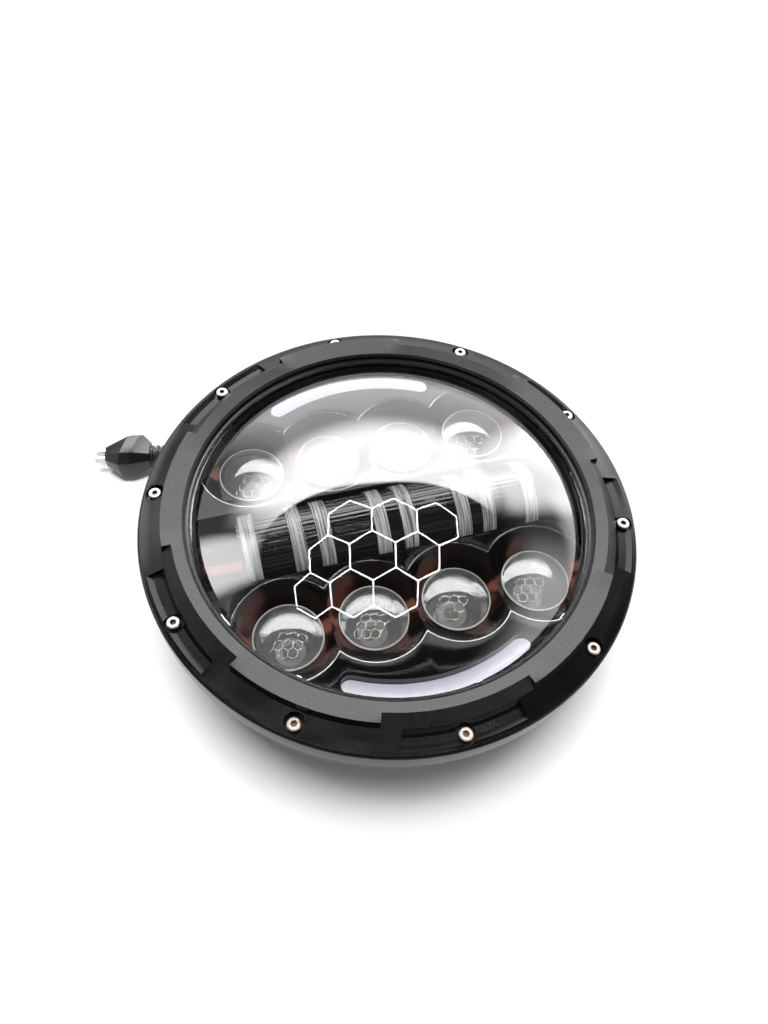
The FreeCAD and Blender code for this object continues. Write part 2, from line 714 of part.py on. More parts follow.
def trough_rod(radius, length):
    """Cylinder along the trough's axis."""
    return lying_rod(radius, length, TROUGH_AXIS_Z)


def arc_bar(width, half_angle, z_low, z_high, middle_angle):
    """Curved bar with round ends on the daytime light's arc."""
    half = width / 2.0
    low = middle_angle - half_angle
    bar = turned((
        (ARC_RADIUS - half, z_low),
        (ARC_RADIUS + half, z_low),
        (ARC_RADIUS + half, z_high),
        (ARC_RADIUS - half, z_high),
    ), 2.0 * half_angle, low)
    ends = []
    for angle in (low, middle_angle + half_angle):
        point = polar(ARC_RADIUS, angle)
        ends.append(rod(half, z_low, z_high, point.x, point.y))
    return joined([bar] + ends)


def reflector():
    """One moulding: face plate, cups, trough, skirted arc slots, bar seat and posts."""
    wall = REFLECTOR_WALL
    plate_under = FACE_Z - wall
    length = 2.0 * REFLECTOR_RADIUS
    below_face = block(length, length, SPREADER_TOP_Z, FACE_Z)
    trough_out = trough_rod(TROUGH_RADIUS + wall, length).common(below_face)
    adds = [rod(REFLECTOR_RADIUS, plate_under, FACE_Z), trough_out]
    adds.append(block(BAR_BASE_LENGTH, BAR_SEAT_WIDTH, BAR_SEAT_Z, TROUGH_BOTTOM_Z))
    for x, y in cup_places():
        adds.append(moved(cup_outside(), x, y))
    for x, y in post_places():
        adds.append(rod(POST_RADIUS, SPREADER_TOP_Z, plate_under + OVERRUN, x, y))
    for middle in (ARC_ANGLE, -ARC_ANGLE):
        adds.append(arc_bar(ARC_BASE_WIDTH, ARC_HALF_ANGLE, ARC_SEAT_Z, plate_under + OVERRUN, middle))
    envelope = turned((
        (0, PLATFORM_Z),
        (BOWL_BASE_RADIUS - REFLECTOR_GAP, PLATFORM_Z),
        (REFLECTOR_RADIUS, FACE_Z),
        (0, FACE_Z),
    ))
    body = joined(adds).common(envelope)
    tools = [trough_rod(TROUGH_RADIUS, length + OVERRUN)]
    slot = BAR_WIDTH + 2.0 * SLOT_CLEARANCE
    tools.append(block(BAR_LENGTH + 2.0 * SLOT_CLEARANCE, slot, BAR_SEAT_Z - OVERRUN, FACE_Z))
    for x, y in cup_places():
        tools.append(moved(cup_inside(), x, y))
    arc_slot = ARC_WIDTH + 2.0 * SLOT_CLEARANCE
    arc_room = ARC_BASE_WIDTH + 2.0 * SLOT_CLEARANCE
    for middle in (ARC_ANGLE, -ARC_ANGLE):
        tools.append(arc_bar(arc_slot, ARC_HALF_ANGLE, ARC_SEAT_Z - OVERRUN, FACE_Z + OVERRUN, middle))
        tools.append(arc_bar(arc_room, ARC_HALF_ANGLE, SPREADER_TOP_Z, ARC_SEAT_Z, middle))
    body = body.cut(tools)
    pins = []
    for x, y in post_places():
        pins.append(rod(POST_PIN_RADIUS, SPREADER_TOP_Z - POST_PIN_LENGTH, SPREADER_TOP_Z + OVERRUN, x, y))
    return joined([body] + pins)


def projector_lens():
    """Plano-convex lens with a short cylindrical edge, seated on the pocket's ledge."""
    edge_z = LEDGE_Z + PROJECTOR_EDGE
    top_z = edge_z + PROJECTOR_SAG
    crown = cap_point(PROJECTOR_RADIUS / 2.0, PROJECTOR_RADIUS, PROJECTOR_SAG, top_z)
    return turned((
        (0, LEDGE_Z),
        (PROJECTOR_RADIUS, LEDGE_Z),
        (PROJECTOR_RADIUS, edge_z),
        crown + (0, top_z),
    ))


def led_emitter():
    """Emitter package with a small domed window, on the light board."""
    base_z = BOARD_TOP_Z + EMITTER_BASE
    base = block(EMITTER_SIZE, EMITTER_SIZE, BOARD_TOP_Z, base_z)
    dome = Part.makeSphere(EMITTER_DOME_RADIUS, Vector(0, 0, base_z))
    dome = dome.common(rod(EMITTER_SIZE, base_z - EMITTER_BASE / 2.0, base_z + EMITTER_SIZE))
    return joined([base, dome])


def in_trough(shape):
    """The part of a shape that lies in front of the trough's surface."""
    return shape.common(trough_rod(TROUGH_RADIUS - SEAT_CLEARANCE, 2.0 * REFLECTOR_RADIUS))


def band_cover():
    """Smoked half-round cover over the trough, hollow, with its ends closed."""
    crown = in_trough(lying_rod(BAND_RADIUS, BAND_LENGTH, BAND_AXIS_Z))
    hollow = lying_rod(BAND_RADIUS - BAND_WALL, BAND_LENGTH - 2.0 * BAND_WALL, BAND_AXIS_Z)
    return crown.cut(hollow)


def band_rib():
    """Thin clear strip bent over the band cover."""
    inner = BAND_RADIUS + SEAT_CLEARANCE
    shell = lying_rod(inner + RIB_THICKNESS, RIB_WIDTH, BAND_AXIS_Z)
    return in_trough(shell.cut(lying_rod(inner, RIB_WIDTH, BAND_AXIS_Z)))


def centre_light_bar():
    """Clear bar in the trough's slot under the band cover, on a wider base behind the seat."""
    base_low = BAR_SEAT_Z - BAR_BASE_THICKNESS
    bar = block(BAR_LENGTH, BAR_WIDTH, base_low, TROUGH_BOTTOM_Z - SEAT_CLEARANCE)
    base = block(BAR_BASE_LENGTH, BAR_BASE_WIDTH, base_low, BAR_SEAT_Z)
    return joined([base, bar])


def centre_led_strip():
    """Narrow board with its row of light sources behind the bar."""
    top = BAR_SEAT_Z - BAR_BASE_THICKNESS
    return block(BAR_BASE_LENGTH, BAR_BASE_WIDTH, top - STRIP_THICKNESS, top)


def drl_guide(middle):
    """White light guide in one arc slot, its front tilted inward, with a lip behind the slot's skirt."""
    base_low = ARC_SEAT_Z - ARC_BASE_THICKNESS
    front = arc_bar(ARC_WIDTH, ARC_HALF_ANGLE, base_low, FACE_Z - ARC_RECESS, middle)
    base = arc_bar(ARC_BASE_WIDTH, ARC_HALF_ANGLE, base_low, ARC_SEAT_Z, middle)
    reach = ARC_WIDTH / 2.0 + OVERRUN
    rise = reach * (ARC_INNER_DROP - ARC_RECESS) / ARC_WIDTH
    middle_z = FACE_Z - (ARC_INNER_DROP + ARC_RECESS) / 2.0
    tilt = turned((
        (ARC_RADIUS - reach, middle_z - rise),
        (ARC_RADIUS + reach, middle_z + rise),
        (ARC_RADIUS - reach, middle_z + rise),
    ))
    return joined([base, front.cut(tilt)])


def drl_strip(middle):
    """Board with the daytime light sources, bonded behind one light guide."""
    top = ARC_SEAT_Z - ARC_BASE_THICKNESS
    return arc_bar(ARC_BASE_WIDTH, ARC_HALF_ANGLE, top - STRIP_THICKNESS, top, middle)


def heat_spreader():
    """Aluminium disc that carries the light boards and the reflector."""
    tools = []
    for x, y in spreader_screw_places():
        tools.append(rod(SCREW_RADIUS + SCREW_CLEARANCE, PLATFORM_Z - OVERRUN, FACE_Z, x, y))
    for x, y in post_places():
        tools.append(rod(POST_PIN_RADIUS + THREAD_CLEARANCE, PLATFORM_Z - OVERRUN, FACE_Z, x, y))
    for side in (1, -1):
        for x, y in board_screw_places(side):
            tools.append(rod(SMALL_SCREW_RADIUS + THREAD_CLEARANCE, PLATFORM_Z - OVERRUN, FACE_Z, x, y))
    return rod(SPREADER_RADIUS, PLATFORM_Z, SPREADER_TOP_Z).cut(tools)


def drilled_plate(length, width, z_low, z_high, places, y=0.0):
    """Rectangular plate with clearance holes for the board screws."""
    holes = []
    for x, hole_y in places:
        hole = rod(SMALL_SCREW_RADIUS + SCREW_CLEARANCE, z_low - OVERRUN, z_high + OVERRUN, x, hole_y)
        holes.append(hole)
    return block(length, width, z_low, z_high, 0, y).cut(holes)


def led_board(side):
    """Metal-core board under one row of cups."""
    return drilled_plate(LED_BOARD_LENGTH, LED_BOARD_WIDTH, BOARD_UNDER_Z, BOARD_TOP_Z,
                         board_screw_places(side), side * ROW_OFFSET)


def thermal_pad(side):
    """Soft pad between a light board and the heat spreader."""
    return drilled_plate(LED_BOARD_LENGTH, LED_BOARD_WIDTH, SPREADER_TOP_Z, BOARD_UNDER_Z,
                         board_screw_places(side), side * ROW_OFFSET)


def board_screws():
    """Screws that hold both light boards down."""
    screw = small_screw(BOARD_TOP_Z, PLATFORM_Z + THREAD_CLEARANCE)
    return screw_group(screw, board_screw_places(1) + board_screw_places(-1))


def spreader_screws():
    """Screws that hold the heat spreader on the housing platform."""
    screw = socket_screw(SPREADER_TOP_Z, PLATFORM_Z - SPREADER_SCREW_BITE)
    return screw_group(screw, spreader_screw_places())


def driver_board():
    """Driver board on its standoffs in the well."""
    return drilled_plate(DRIVER_LENGTH, DRIVER_WIDTH, DRIVER_UNDER_Z, DRIVER_TOP_Z, driver_screw_places())


def driver_screws():
    """Corner screws of the driver board."""
    screw = small_screw(DRIVER_TOP_Z, WELL_FLOOR_Z + THREAD_CLEARANCE)
    return screw_group(screw, driver_screw_places())


def driver_coil():
    """Wound ring coil standing flat on the driver board."""
    coil = turned((
        (COIL_CORE_RADIUS, DRIVER_TOP_Z),
        (COIL_RADIUS, DRIVER_TOP_Z),
        (COIL_RADIUS, DRIVER_TOP_Z + COIL_HEIGHT),
        (COIL_CORE_RADIUS, DRIVER_TOP_Z + COIL_HEIGHT),
    ))
    return moved(coil, -DRIVER_LENGTH / 4.0, 0)


def driver_capacitor():
    """Round capacitor lying on the driver board."""
    start = Vector(0, -DRIVER_WIDTH / 4.0, DRIVER_TOP_Z + CAPACITOR_RADIUS)
    return Part.makeCylinder(CAPACITOR_RADIUS, CAPACITOR_LENGTH, start, Vector(1, 0, 0))


def driver_chip():
    """Controller chip on the driver board."""
    return block(CHIP_SIZE, CHIP_SIZE, DRIVER_TOP_Z, DRIVER_TOP_Z + CHIP_HEIGHT, DRIVER_LENGTH / 4.0, 0)


def terminal_reach():
    """Distance from the optical axis to the terminal block's outer face along the gland's line."""
    return DRIVER_WIDTH / 2.0


def terminal_block():
    """Terminal block on the board's edge, square to the gland's line."""
    low_x = terminal_reach() - TERMINAL_WIDTH
    corner = Vector(low_x, -TERMINAL_LENGTH / 2.0, DRIVER_TOP_Z)
    return spun(Part.makeBox(TERMINAL_WIDTH, TERMINAL_LENGTH, TERMINAL_HEIGHT, corner), GLAND_ANGLE)


def supply_lead():
    """Sheathed lead from the gland's inner end to the terminal block."""
    inner_end = GLAND_BOSS_END - GLAND_PLUG_LENGTH
    return spoke(LEAD_RADIUS, terminal_reach(), inner_end, GLAND_ANGLE, LEAD_Z)


def cable_gland():
    """Moulded gland pressed into the cable boss, with a tapering nose."""
    plug_start = GLAND_BOSS_END - GLAND_PLUG_LENGTH
    nose_start = GLAND_BOSS_END + GLAND_FLANGE_LENGTH
    nose_end = nose_start + GLAND_NOSE_LENGTH
    bore = GLAND_BORE_RADIUS - SEAT_CLEARANCE
    profile = Part.makePolygon([
        Vector(plug_start, 0, 0),
        Vector(plug_start, bore, 0),
        Vector(GLAND_BOSS_END, bore, 0),
        Vector(GLAND_BOSS_END, GLAND_FLANGE_RADIUS, 0),
        Vector(nose_start, GLAND_FLANGE_RADIUS, 0),
        Vector(nose_start, GLAND_ROOT_RADIUS, 0),
        Vector(nose_end, GLAND_NOSE_RADIUS, 0),
        Vector(nose_end, 0, 0),
        Vector(plug_start, 0, 0),
    ])
    solid = Part.Face(profile).revolve(CENTRE, Vector(1, 0, 0), 360)
    solid.translate(Vector(0, 0, LEAD_Z))
    return spun(solid, GLAND_ANGLE)


def cord_tube():
    """Cord along its hand-chosen route: straight runs joined by tangent arcs."""
    points = [Vector(*point) for point in CORD_ROUTE]
    edges = []
    place = points[0]
    for before, corner, after in zip(points, points[1:], points[2:]):
        back = before.sub(corner)
        ahead = after.sub(corner)
        reach = CORD_ARC_SHARE * min(back.Length, ahead.Length)
        half_turn = (math.pi - back.getAngle(ahead)) / 2.0
        radius = reach / math.tan(half_turn)
        back.normalize()
        ahead.normalize()
        start = corner + back * reach
        end = corner + ahead * reach
        inward = back + ahead
        inward.normalize()
        sagitta = radius / math.cos(half_turn) - radius
        edges.append(Part.LineSegment(place, start).toShape())
        edges.append(Part.Arc(start, corner + inward * sagitta, end).toShape())
        place = end
        print("cord bend radius", round(radius, 1), "turn", round(math.degrees(2.0 * half_turn), 1))
    edges.append(Part.LineSegment(place, points[-1]).toShape())
    path = Part.Wire(edges)
    first = points[1].sub(points[0])
    ring = Part.Wire(Part.makeCircle(CORD_DIAMETER / 2.0, points[0], first))
    tube = path.makePipeShell([ring], True, False)
    ideal = math.pi * (CORD_DIAMETER / 2.0) ** 2 * path.Length
    print("cord length", round(path.Length, 1), "volume share", round(tube.Volume / ideal, 4))
    return tube


def on_plug_axis(shape):
    """Shape made along +X from the cord's end, laid on the plug's axis."""
    shape.translate(Vector(SEAT_CLEARANCE, 0, 0))
    shape.rotate(CENTRE, UP, PLUG_AXIS_ANGLE)
    shape.translate(Vector(*CORD_ROUTE[-1]))
    return shape


def octagon(x, half_width, half_height, lean=0.0):
    """Eight-sided outline across the plug's axis, its plane leaning by a share of the side offset."""
    side_y = half_width * PLUG_FACET_SHARE
    side_z = half_height * PLUG_FACET_SHARE
    corners = []
    for y, z in ((half_width, side_z), (side_y, half_height), (-side_y, half_height),
                 (-half_width, side_z), (-half_width, -side_z), (-side_y, -half_height),
                 (side_y, -half_height), (half_width, -side_z), (half_width, side_z)):
        corners.append(Vector(x + lean * y, y, z))
    return Part.makePolygon(corners)


def plug_strain_relief():
    """Ribbed sleeve between the cord and the plug."""
    step = RELIEF_LENGTH / (2 * RELIEF_RIBS)
    neck = RELIEF_RADIUS - RELIEF_GROOVE
    corners = [Vector(0, 0, 0)]
    for index in range(2 * RELIEF_RIBS):
        radius = neck if index % 2 == 0 else RELIEF_RADIUS
        corners.append(Vector(index * step, radius, 0))
        corners.append(Vector((index + 1) * step, radius, 0))
    corners.append(Vector(RELIEF_LENGTH, 0, 0))
    corners.append(Vector(0, 0, 0))
    solid = Part.Face(Part.makePolygon(corners)).revolve(CENTRE, Vector(1, 0, 0), 360)
    return on_plug_axis(solid)


def plug_blades():
    """Two flat contact blades, side by side, as a list."""
    front = RELIEF_LENGTH + PLUG_LENGTH
    blades = []
    for side in (1, -1):
        corner = Vector(front + BLADE_OUT - BLADE_LENGTH,
                        side * BLADE_SPACING / 2.0 - BLADE_THICKNESS / 2.0, -BLADE_WIDTH / 2.0)
        blades.append(Part.makeBox(BLADE_LENGTH, BLADE_THICKNESS, BLADE_WIDTH, corner))
    return blades


def plug_body():
    """Faceted plug that swells behind its front face and closes on the strain relief."""
    neck = RELIEF_LENGTH
    front = neck + PLUG_LENGTH
    wires = [
        octagon(neck, PLUG_NECK_RADIUS, PLUG_NECK_RADIUS),
        octagon(neck + PLUG_SHOULDER, PLUG_HALF_WIDTH, PLUG_HALF_HEIGHT, PLUG_LEAN),
        octagon(front - PLUG_FRONT_TAPER, PLUG_HALF_WIDTH, PLUG_HALF_HEIGHT, PLUG_LEAN),
        octagon(front, PLUG_HALF_WIDTH * PLUG_FRONT_SHARE, PLUG_HALF_HEIGHT * PLUG_FRONT_SHARE),
    ]
    body = Part.makeLoft(wires, True, True)
    return on_plug_axis(body.cut(plug_blades()))


def breather_vent():
    """Breather cap with a stem through the bowl's side."""
    stem_start = BOWL_BASE_RADIUS + OVERRUN
    cap = spoke(VENT_RADIUS, VENT_PAD_END, VENT_PAD_END + VENT_HEIGHT, VENT_ANGLE, vent_z())
    stem = spoke(VENT_STEM_RADIUS, stem_start, VENT_PAD_END + OVERRUN, VENT_ANGLE, vent_z())
    return joined([cap, stem])


def all_pieces():
    """Every node's name with its shape."""
    pieces = {
        "trim_ring": trim_ring(),
        "ring_screws": ring_screws(),
        "front_lens": front_lens(),
        "lens_gasket": lens_gasket(),
        "housing_seal": housing_seal(),
        "rear_housing": rear_housing(),
        "reflector": reflector(),
        "band_cover": band_cover(),
        "centre_light_bar": centre_light_bar(),
        "centre_led_strip": centre_led_strip(),
        "heat_spreader": heat_spreader(),
        "spreader_screws": spreader_screws(),
        "board_screws": board_screws(),
        "driver_board": driver_board(),
        "driver_screws": driver_screws(),
        "driver_coil": driver_coil(),
        "driver_capacitor": driver_capacitor(),
        "driver_chip": driver_chip(),
        "terminal_block": terminal_block(),
        "supply_lead": supply_lead(),
        "cable_gland": cable_gland(),
        "cord": cord_tube(),
        "plug_strain_relief": plug_strain_relief(),
        "plug_body": plug_body(),
        "breather_vent": breather_vent(),
    }
    for index, (x, y) in enumerate(cup_places(), 1):
        pieces[f"projector_lens_{index}"] = moved(projector_lens(), x, y)
        pieces[f"led_emitter_{index}"] = moved(led_emitter(), x, y)
    rib_places = [-offset for offset in reversed(RIB_OFFSETS)] + list(RIB_OFFSETS)
    for index, x in enumerate(rib_places, 1):
        pieces[f"band_rib_{index}"] = moved(band_rib(), x, 0)
    for name, side in (("upper", 1), ("lower", -1)):
        pieces[f"led_board_{name}"] = led_board(side)
        pieces[f"thermal_pad_{name}"] = thermal_pad(side)
        pieces[f"drl_guide_{name}"] = drl_guide(side * ARC_ANGLE)
        pieces[f"drl_strip_{name}"] = drl_strip(side * ARC_ANGLE)
    for index, blade in enumerate(plug_blades(), 1):
        pieces[f"plug_blade_{index}"] = on_plug_axis(blade)
    return pieces


def main():
    """Build every piece and write it to its own file."""
    os.makedirs("parts", exist_ok=True)
    for name, shape in all_pieces().items():
        shape.exportStep(f"parts/{name}.step")
        box = shape.BoundBox
        print(name, "solids", len(shape.Solids), "valid", shape.isValid(),
              "volume", round(shape.Volume, 1),
              "z", round(box.ZMin, 2), round(box.ZMax, 2))


main()
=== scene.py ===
"""Round auxiliary light: its finishes, remodelled meshes, cord, studio and camera."""

import logging
import math
from dataclasses import dataclass, field
from enum import Enum
from typing import Any, Iterable, Optional, Union

import bmesh
import bpy
from mathutils import Matrix, Vector


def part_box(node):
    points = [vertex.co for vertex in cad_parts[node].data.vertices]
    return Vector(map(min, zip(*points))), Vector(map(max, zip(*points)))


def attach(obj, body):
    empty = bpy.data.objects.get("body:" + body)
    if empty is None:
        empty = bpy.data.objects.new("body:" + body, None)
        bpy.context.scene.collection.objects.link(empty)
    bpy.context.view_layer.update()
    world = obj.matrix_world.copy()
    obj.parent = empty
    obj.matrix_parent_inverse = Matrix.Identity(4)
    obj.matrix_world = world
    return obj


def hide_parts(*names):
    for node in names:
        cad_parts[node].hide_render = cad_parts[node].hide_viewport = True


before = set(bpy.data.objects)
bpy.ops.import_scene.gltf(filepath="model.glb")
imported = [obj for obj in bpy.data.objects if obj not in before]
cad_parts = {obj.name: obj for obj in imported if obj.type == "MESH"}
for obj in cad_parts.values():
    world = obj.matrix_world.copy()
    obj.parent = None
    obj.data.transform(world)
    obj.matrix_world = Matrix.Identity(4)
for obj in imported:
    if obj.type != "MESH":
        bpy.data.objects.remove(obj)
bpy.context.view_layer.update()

LOG = logging.getLogger("auxiliary_light")
BODY = "root"
MM = 0.001
SIDES = ("upper", "lower")
PROJECTORS = 8
HEXAGON = 6
WHITE = (1.0, 1.0, 1.0, 1.0)
# The Mix node's sockets for colours.
MIX_FIRST = 6
MIX_SECOND = 7
MIX_RESULT = 2
Colour = tuple[float, float, float]
Point = tuple[float, float, float]
Pair = tuple[float, float]
Number = Union[int, float]


class Ray(Enum):
    """Kinds of ray that a stage object can hide from."""

    CAMERA = "visible_camera"
    DIFFUSE = "visible_diffuse"
    SHADOW = "visible_shadow"


class Shade(Enum):
    """Angle in degrees from which a remodelled piece's edges are shaded as sharp."""

    EDGED = 32.0
    CRISP = 20.0


class Detail(Enum):
    """How finely a noise is broken up."""

    COARSE = 1.0
    PLAIN = 2.0
    FINE = 3.0


class Value:
    """A number socket of a shader with arithmetic on it."""

    def __init__(self, graph: "Graph", socket: bpy.types.NodeSocket) -> None:
        """Keep the socket and the graph that it belongs to."""
        self.graph = graph
        self.socket = socket

    def maths(self, operation: str, *others: Union["Value", Number]) -> "Value":
        """Result of a Math node with this value as its first operand."""
        inputs = dict(enumerate((self, *others)))
        return self.graph.value("ShaderNodeMath", {"operation": operation}, inputs)

    def __add__(self, other: Union["Value", Number]) -> "Value":
        """Sum."""
        return self.maths("ADD", other)

    def __radd__(self, other: Number) -> "Value":
        """Sum with a number on the left."""
        return self.maths("ADD", other)

    def __mul__(self, other: Union["Value", Number]) -> "Value":
        """Product."""
        return self.maths("MULTIPLY", other)

    def __sub__(self, other: Union["Value", Number]) -> "Value":
        """Difference."""
        return self.maths("SUBTRACT", other)

    def __rsub__(self, other: Number) -> "Value":
        """Difference from a number on the left."""
        return (self * -1.0) + other

    def __truediv__(self, other: Union["Value", Number]) -> "Value":
        """Quotient."""
        return self.maths("DIVIDE", other)

    def step(self, low: float, high: float) -> "Value":
        """Smooth rise from 0 at low to 1 at high."""
        inputs = {"Value": self, "From Min": low, "From Max": high}
        return self.graph.value("ShaderNodeMapRange", {"interpolation_type": "SMOOTHSTEP"}, inputs)

    def clamped(self) -> "Value":
        """The value kept between 0 and 1."""
        return self.graph.value("ShaderNodeClamp", {}, {"Value": self})

    def around(self, middle: float, spread: float) -> "Value":
        """A value from 0 to 1 laid out as a spread about a middle."""
        return self * spread + (middle - spread / 2.0)


class Graph:
    """One node tree, with one method that adds any node."""

    def __init__(self, tree: bpy.types.NodeTree) -> None:
        """Start from an empty tree."""
        self.tree = tree
        self.tree.nodes.clear()

    def node(self, kind: str, settings: Optional[dict[str, Any]] = None,
             inputs: Optional[dict[Union[str, int], Any]] = None) -> bpy.types.Node:
        """Add a node.

        Args:
            kind: the node's type.
            settings: its properties, set before its sockets.
            inputs: a value, a Value or a socket for each named or numbered input.

        Returns:
            The new node.
        """
        made = self.tree.nodes.new(kind)
        for name, setting in (settings or {}).items():
            setattr(made, name, setting)
        for name, given in (inputs or {}).items():
            socket = made.inputs[name]
            if isinstance(given, Value):
                self.tree.links.new(given.socket, socket)
            elif isinstance(given, bpy.types.NodeSocket):
                self.tree.links.new(given, socket)
            else:
                socket.default_value = given
        return made

    def value(self, kind: str, settings: Optional[dict[str, Any]] = None,
              inputs: Optional[dict[Union[str, int], Any]] = None, output: Union[str, int] = 0) -> Value:
        """Add a node and wrap one of its outputs."""
        return Value(self, self.node(kind, settings, inputs).outputs[output])

    def place(self, scale: Point = (1.0, 1.0, 1.0)) -> bpy.types.NodeSocket:
        """Object coordinates in millimetres, stretched along the axes.

        Args:
            scale: factor along each axis.

        Returns:
            The vector socket.
        """
        coordinates = self.node("ShaderNodeTexCoord").outputs["Object"]
        factors = tuple(factor / MM for factor in scale)
        inputs = {"Vector": coordinates, "Scale": factors}
        return self.node("ShaderNodeMapping", {}, inputs).outputs["Vector"]

    def axes(self) -> tuple[Value, Value, Value]:
        """The object's X, Y and Z in millimetres."""
        parts = self.node("ShaderNodeSeparateXYZ", {}, {"Vector": self.place()}).outputs
        return Value(self, parts[0]), Value(self, parts[1]), Value(self, parts[2])

    def noise(self, size: float, detail: Detail = Detail.PLAIN, scale: Point = (1.0, 1.0, 1.0)) -> Value:
        """Noise whose grains have about this size in millimetres, on stretched coordinates."""
        inputs = {"Vector": self.place(scale), "Scale": 1.0 / size, "Detail": detail.value}
        return self.value("ShaderNodeTexNoise", {}, inputs)

    def mixed(self, factor: Value, first: Colour, second: Colour) -> bpy.types.NodeSocket:
        """Mix of two colours."""
        inputs = {"Factor": factor, MIX_FIRST: (*first, 1.0), MIX_SECOND: (*second, 1.0)}
        return self.node("ShaderNodeMix", {"data_type": "RGBA"}, inputs).outputs[MIX_RESULT]

    def bump(self, height: Value, depth: float, strength: float = 1.0) -> bpy.types.NodeSocket:
        """Normal bent by a height from 0 to 1, where 1 stands for a depth in millimetres."""
        inputs = {"Height": height, "Distance": depth * MM, "Strength": strength}
        return self.node("ShaderNodeBump", {}, inputs).outputs["Normal"]

    def principled(self, inputs: dict[str, Any]) -> bpy.types.NodeSocket:
        """Principled shader."""
        return self.node("ShaderNodeBsdfPrincipled", {}, inputs).outputs[0]

    def mirror(self, roughness: Value) -> bpy.types.NodeSocket:
        """White mirror shader."""
        return self.principled({"Base Color": WHITE, "Metallic": 1.0, "Roughness": roughness})

    def clear(self, tint: Colour) -> bpy.types.NodeSocket:
        """Shader that lets light through unbent."""
        return self.node("ShaderNodeBsdfTransparent", {}, {"Color": (*tint, 1.0)}).outputs[0]

    def blended(self, factor: Value, first: bpy.types.NodeSocket,
                second: bpy.types.NodeSocket) -> bpy.types.NodeSocket:
        """Mix of two shaders."""
        return self.node("ShaderNodeMixShader", {}, {0: factor, 1: first, 2: second}).outputs[0]

    def skin(self, index: float) -> Value:
        """Mirror share of a clear skin, nothing for light that leaves through it.

        Args:
            index: the skin's index of refraction.

        Returns:
            The share.
        """
        share = self.value("ShaderNodeFresnel", {}, {"IOR": index})
        leaving = self.value("ShaderNodeNewGeometry", {}, {}, "Backfacing")
        return share * (1.0 - leaving)

    def seen(self) -> Value:
        """Tell the rays that show a surface to the eye.

        Returns:
            1 for such rays, direct ones or by way of a mirror or glass, else 0.
        """
        path = self.node("ShaderNodeLightPath")
        names = ("Is Camera Ray", "Is Glossy Ray", "Is Transmission Ray")
        return sum(Value(self, path.outputs[name]) for name in names).clamped()

    def output(self, surface: bpy.types.NodeSocket, kind: str = "ShaderNodeOutputMaterial") -> None:
        """Connect the shader to the output."""
        self.node(kind, {}, {"Surface": surface})


def shaded(colour: Colour, factor: float) -> Colour:
    """Colour made paler or darker by a factor."""
    red, green, blue = colour
    return red * factor, green * factor, blue * factor


def placed(name: str, data: bpy.types.ID) -> bpy.types.Object:
    """Put a new object into the scene.

    Args:
        name: the object's name.
        data: its mesh, curve, light or camera.

    Returns:
        The object, at the origin.
    """
    made = bpy.data.objects.new(name, data)
    bpy.context.scene.collection.objects.link(made)
    return made


@dataclass(frozen=True)
class Finish:
    """A finish with a name, made into a material once."""

    name: str

    def material(self) -> bpy.types.Material:
        """Make the finish into a material at its first use.

        Returns:
            The material, the same one at each use.
        """
        title = self.name + "_finish"
        known = bpy.data.materials.get(title)
        if known is not None:
            return known
        made = bpy.data.materials.new(title)
        made.use_nodes = True
        graph = Graph(made.node_tree)
        graph.output(self.surface(graph))
        return made

    def surface(self, graph: Graph) -> bpy.types.NodeSocket:
        """The shader of the finish."""
        raise NotImplementedError


@dataclass(frozen=True)
class GrainedCoat(Finish):
    """Matt or satin coat with a fine grain and slight unevenness."""

    colour: Colour = (0.03, 0.03, 0.031)
    roughness: float = 0.45
    grain: float = 0.35
    grain_depth: float = 0.03
    unevenness: float = 0.25
    gloss: float = 0.5
    patch_ratio: float = 40.0
    grain_share: float = 0.6
    speckle_range: Pair = (0.3, 0.7)
    spread: float = 0.12

    def surface(self, graph: Graph) -> bpy.types.NodeSocket:
        """Coat colour with a grained bump.

        Args:
            graph: the material's nodes.

        Returns:
            The shader.
        """
        grain = graph.noise(self.grain, Detail.FINE)
        patches = graph.noise(self.grain * self.patch_ratio, Detail.FINE)
        pale = shaded(self.colour, 1.0 + self.unevenness)
        dark = shaded(self.colour, 1.0 - self.unevenness)
        speckle = (grain * self.grain_share + patches * (1.0 - self.grain_share)).step(*self.speckle_range)
        return graph.principled({
            "Base Color": graph.mixed(speckle, dark, pale),
            "Roughness": patches.around(self.roughness, self.spread),
            "Specular IOR Level": self.gloss,
            "Normal": graph.bump(grain, self.grain_depth),
        })


@dataclass(frozen=True)
class BrightMetal(Finish):
    """Plain bright metal with fine turning marks and a little haze."""

    colour: Colour = (0.7, 0.68, 0.64)
    roughness: float = 0.24
    mark: float = 0.25
    mark_depth: float = 0.01
    mark_strength: float = 0.5
    haze_ratio: float = 8.0
    dulled: float = 0.72
    spread: float = 0.16

    def surface(self, graph: Graph) -> bpy.types.NodeSocket:
        """Metal with uneven gloss.

        Args:
            graph: the material's nodes.

        Returns:
            The shader.
        """
        haze = graph.noise(self.mark * self.haze_ratio, Detail.FINE)
        marks = graph.noise(self.mark)
        return graph.principled({
            "Base Color": graph.mixed(haze, shaded(self.colour, self.dulled), self.colour),
            "Metallic": 1.0,
            "Roughness": marks.around(self.roughness, self.spread),
            "Normal": graph.bump(marks, self.mark_depth, self.mark_strength),
        })


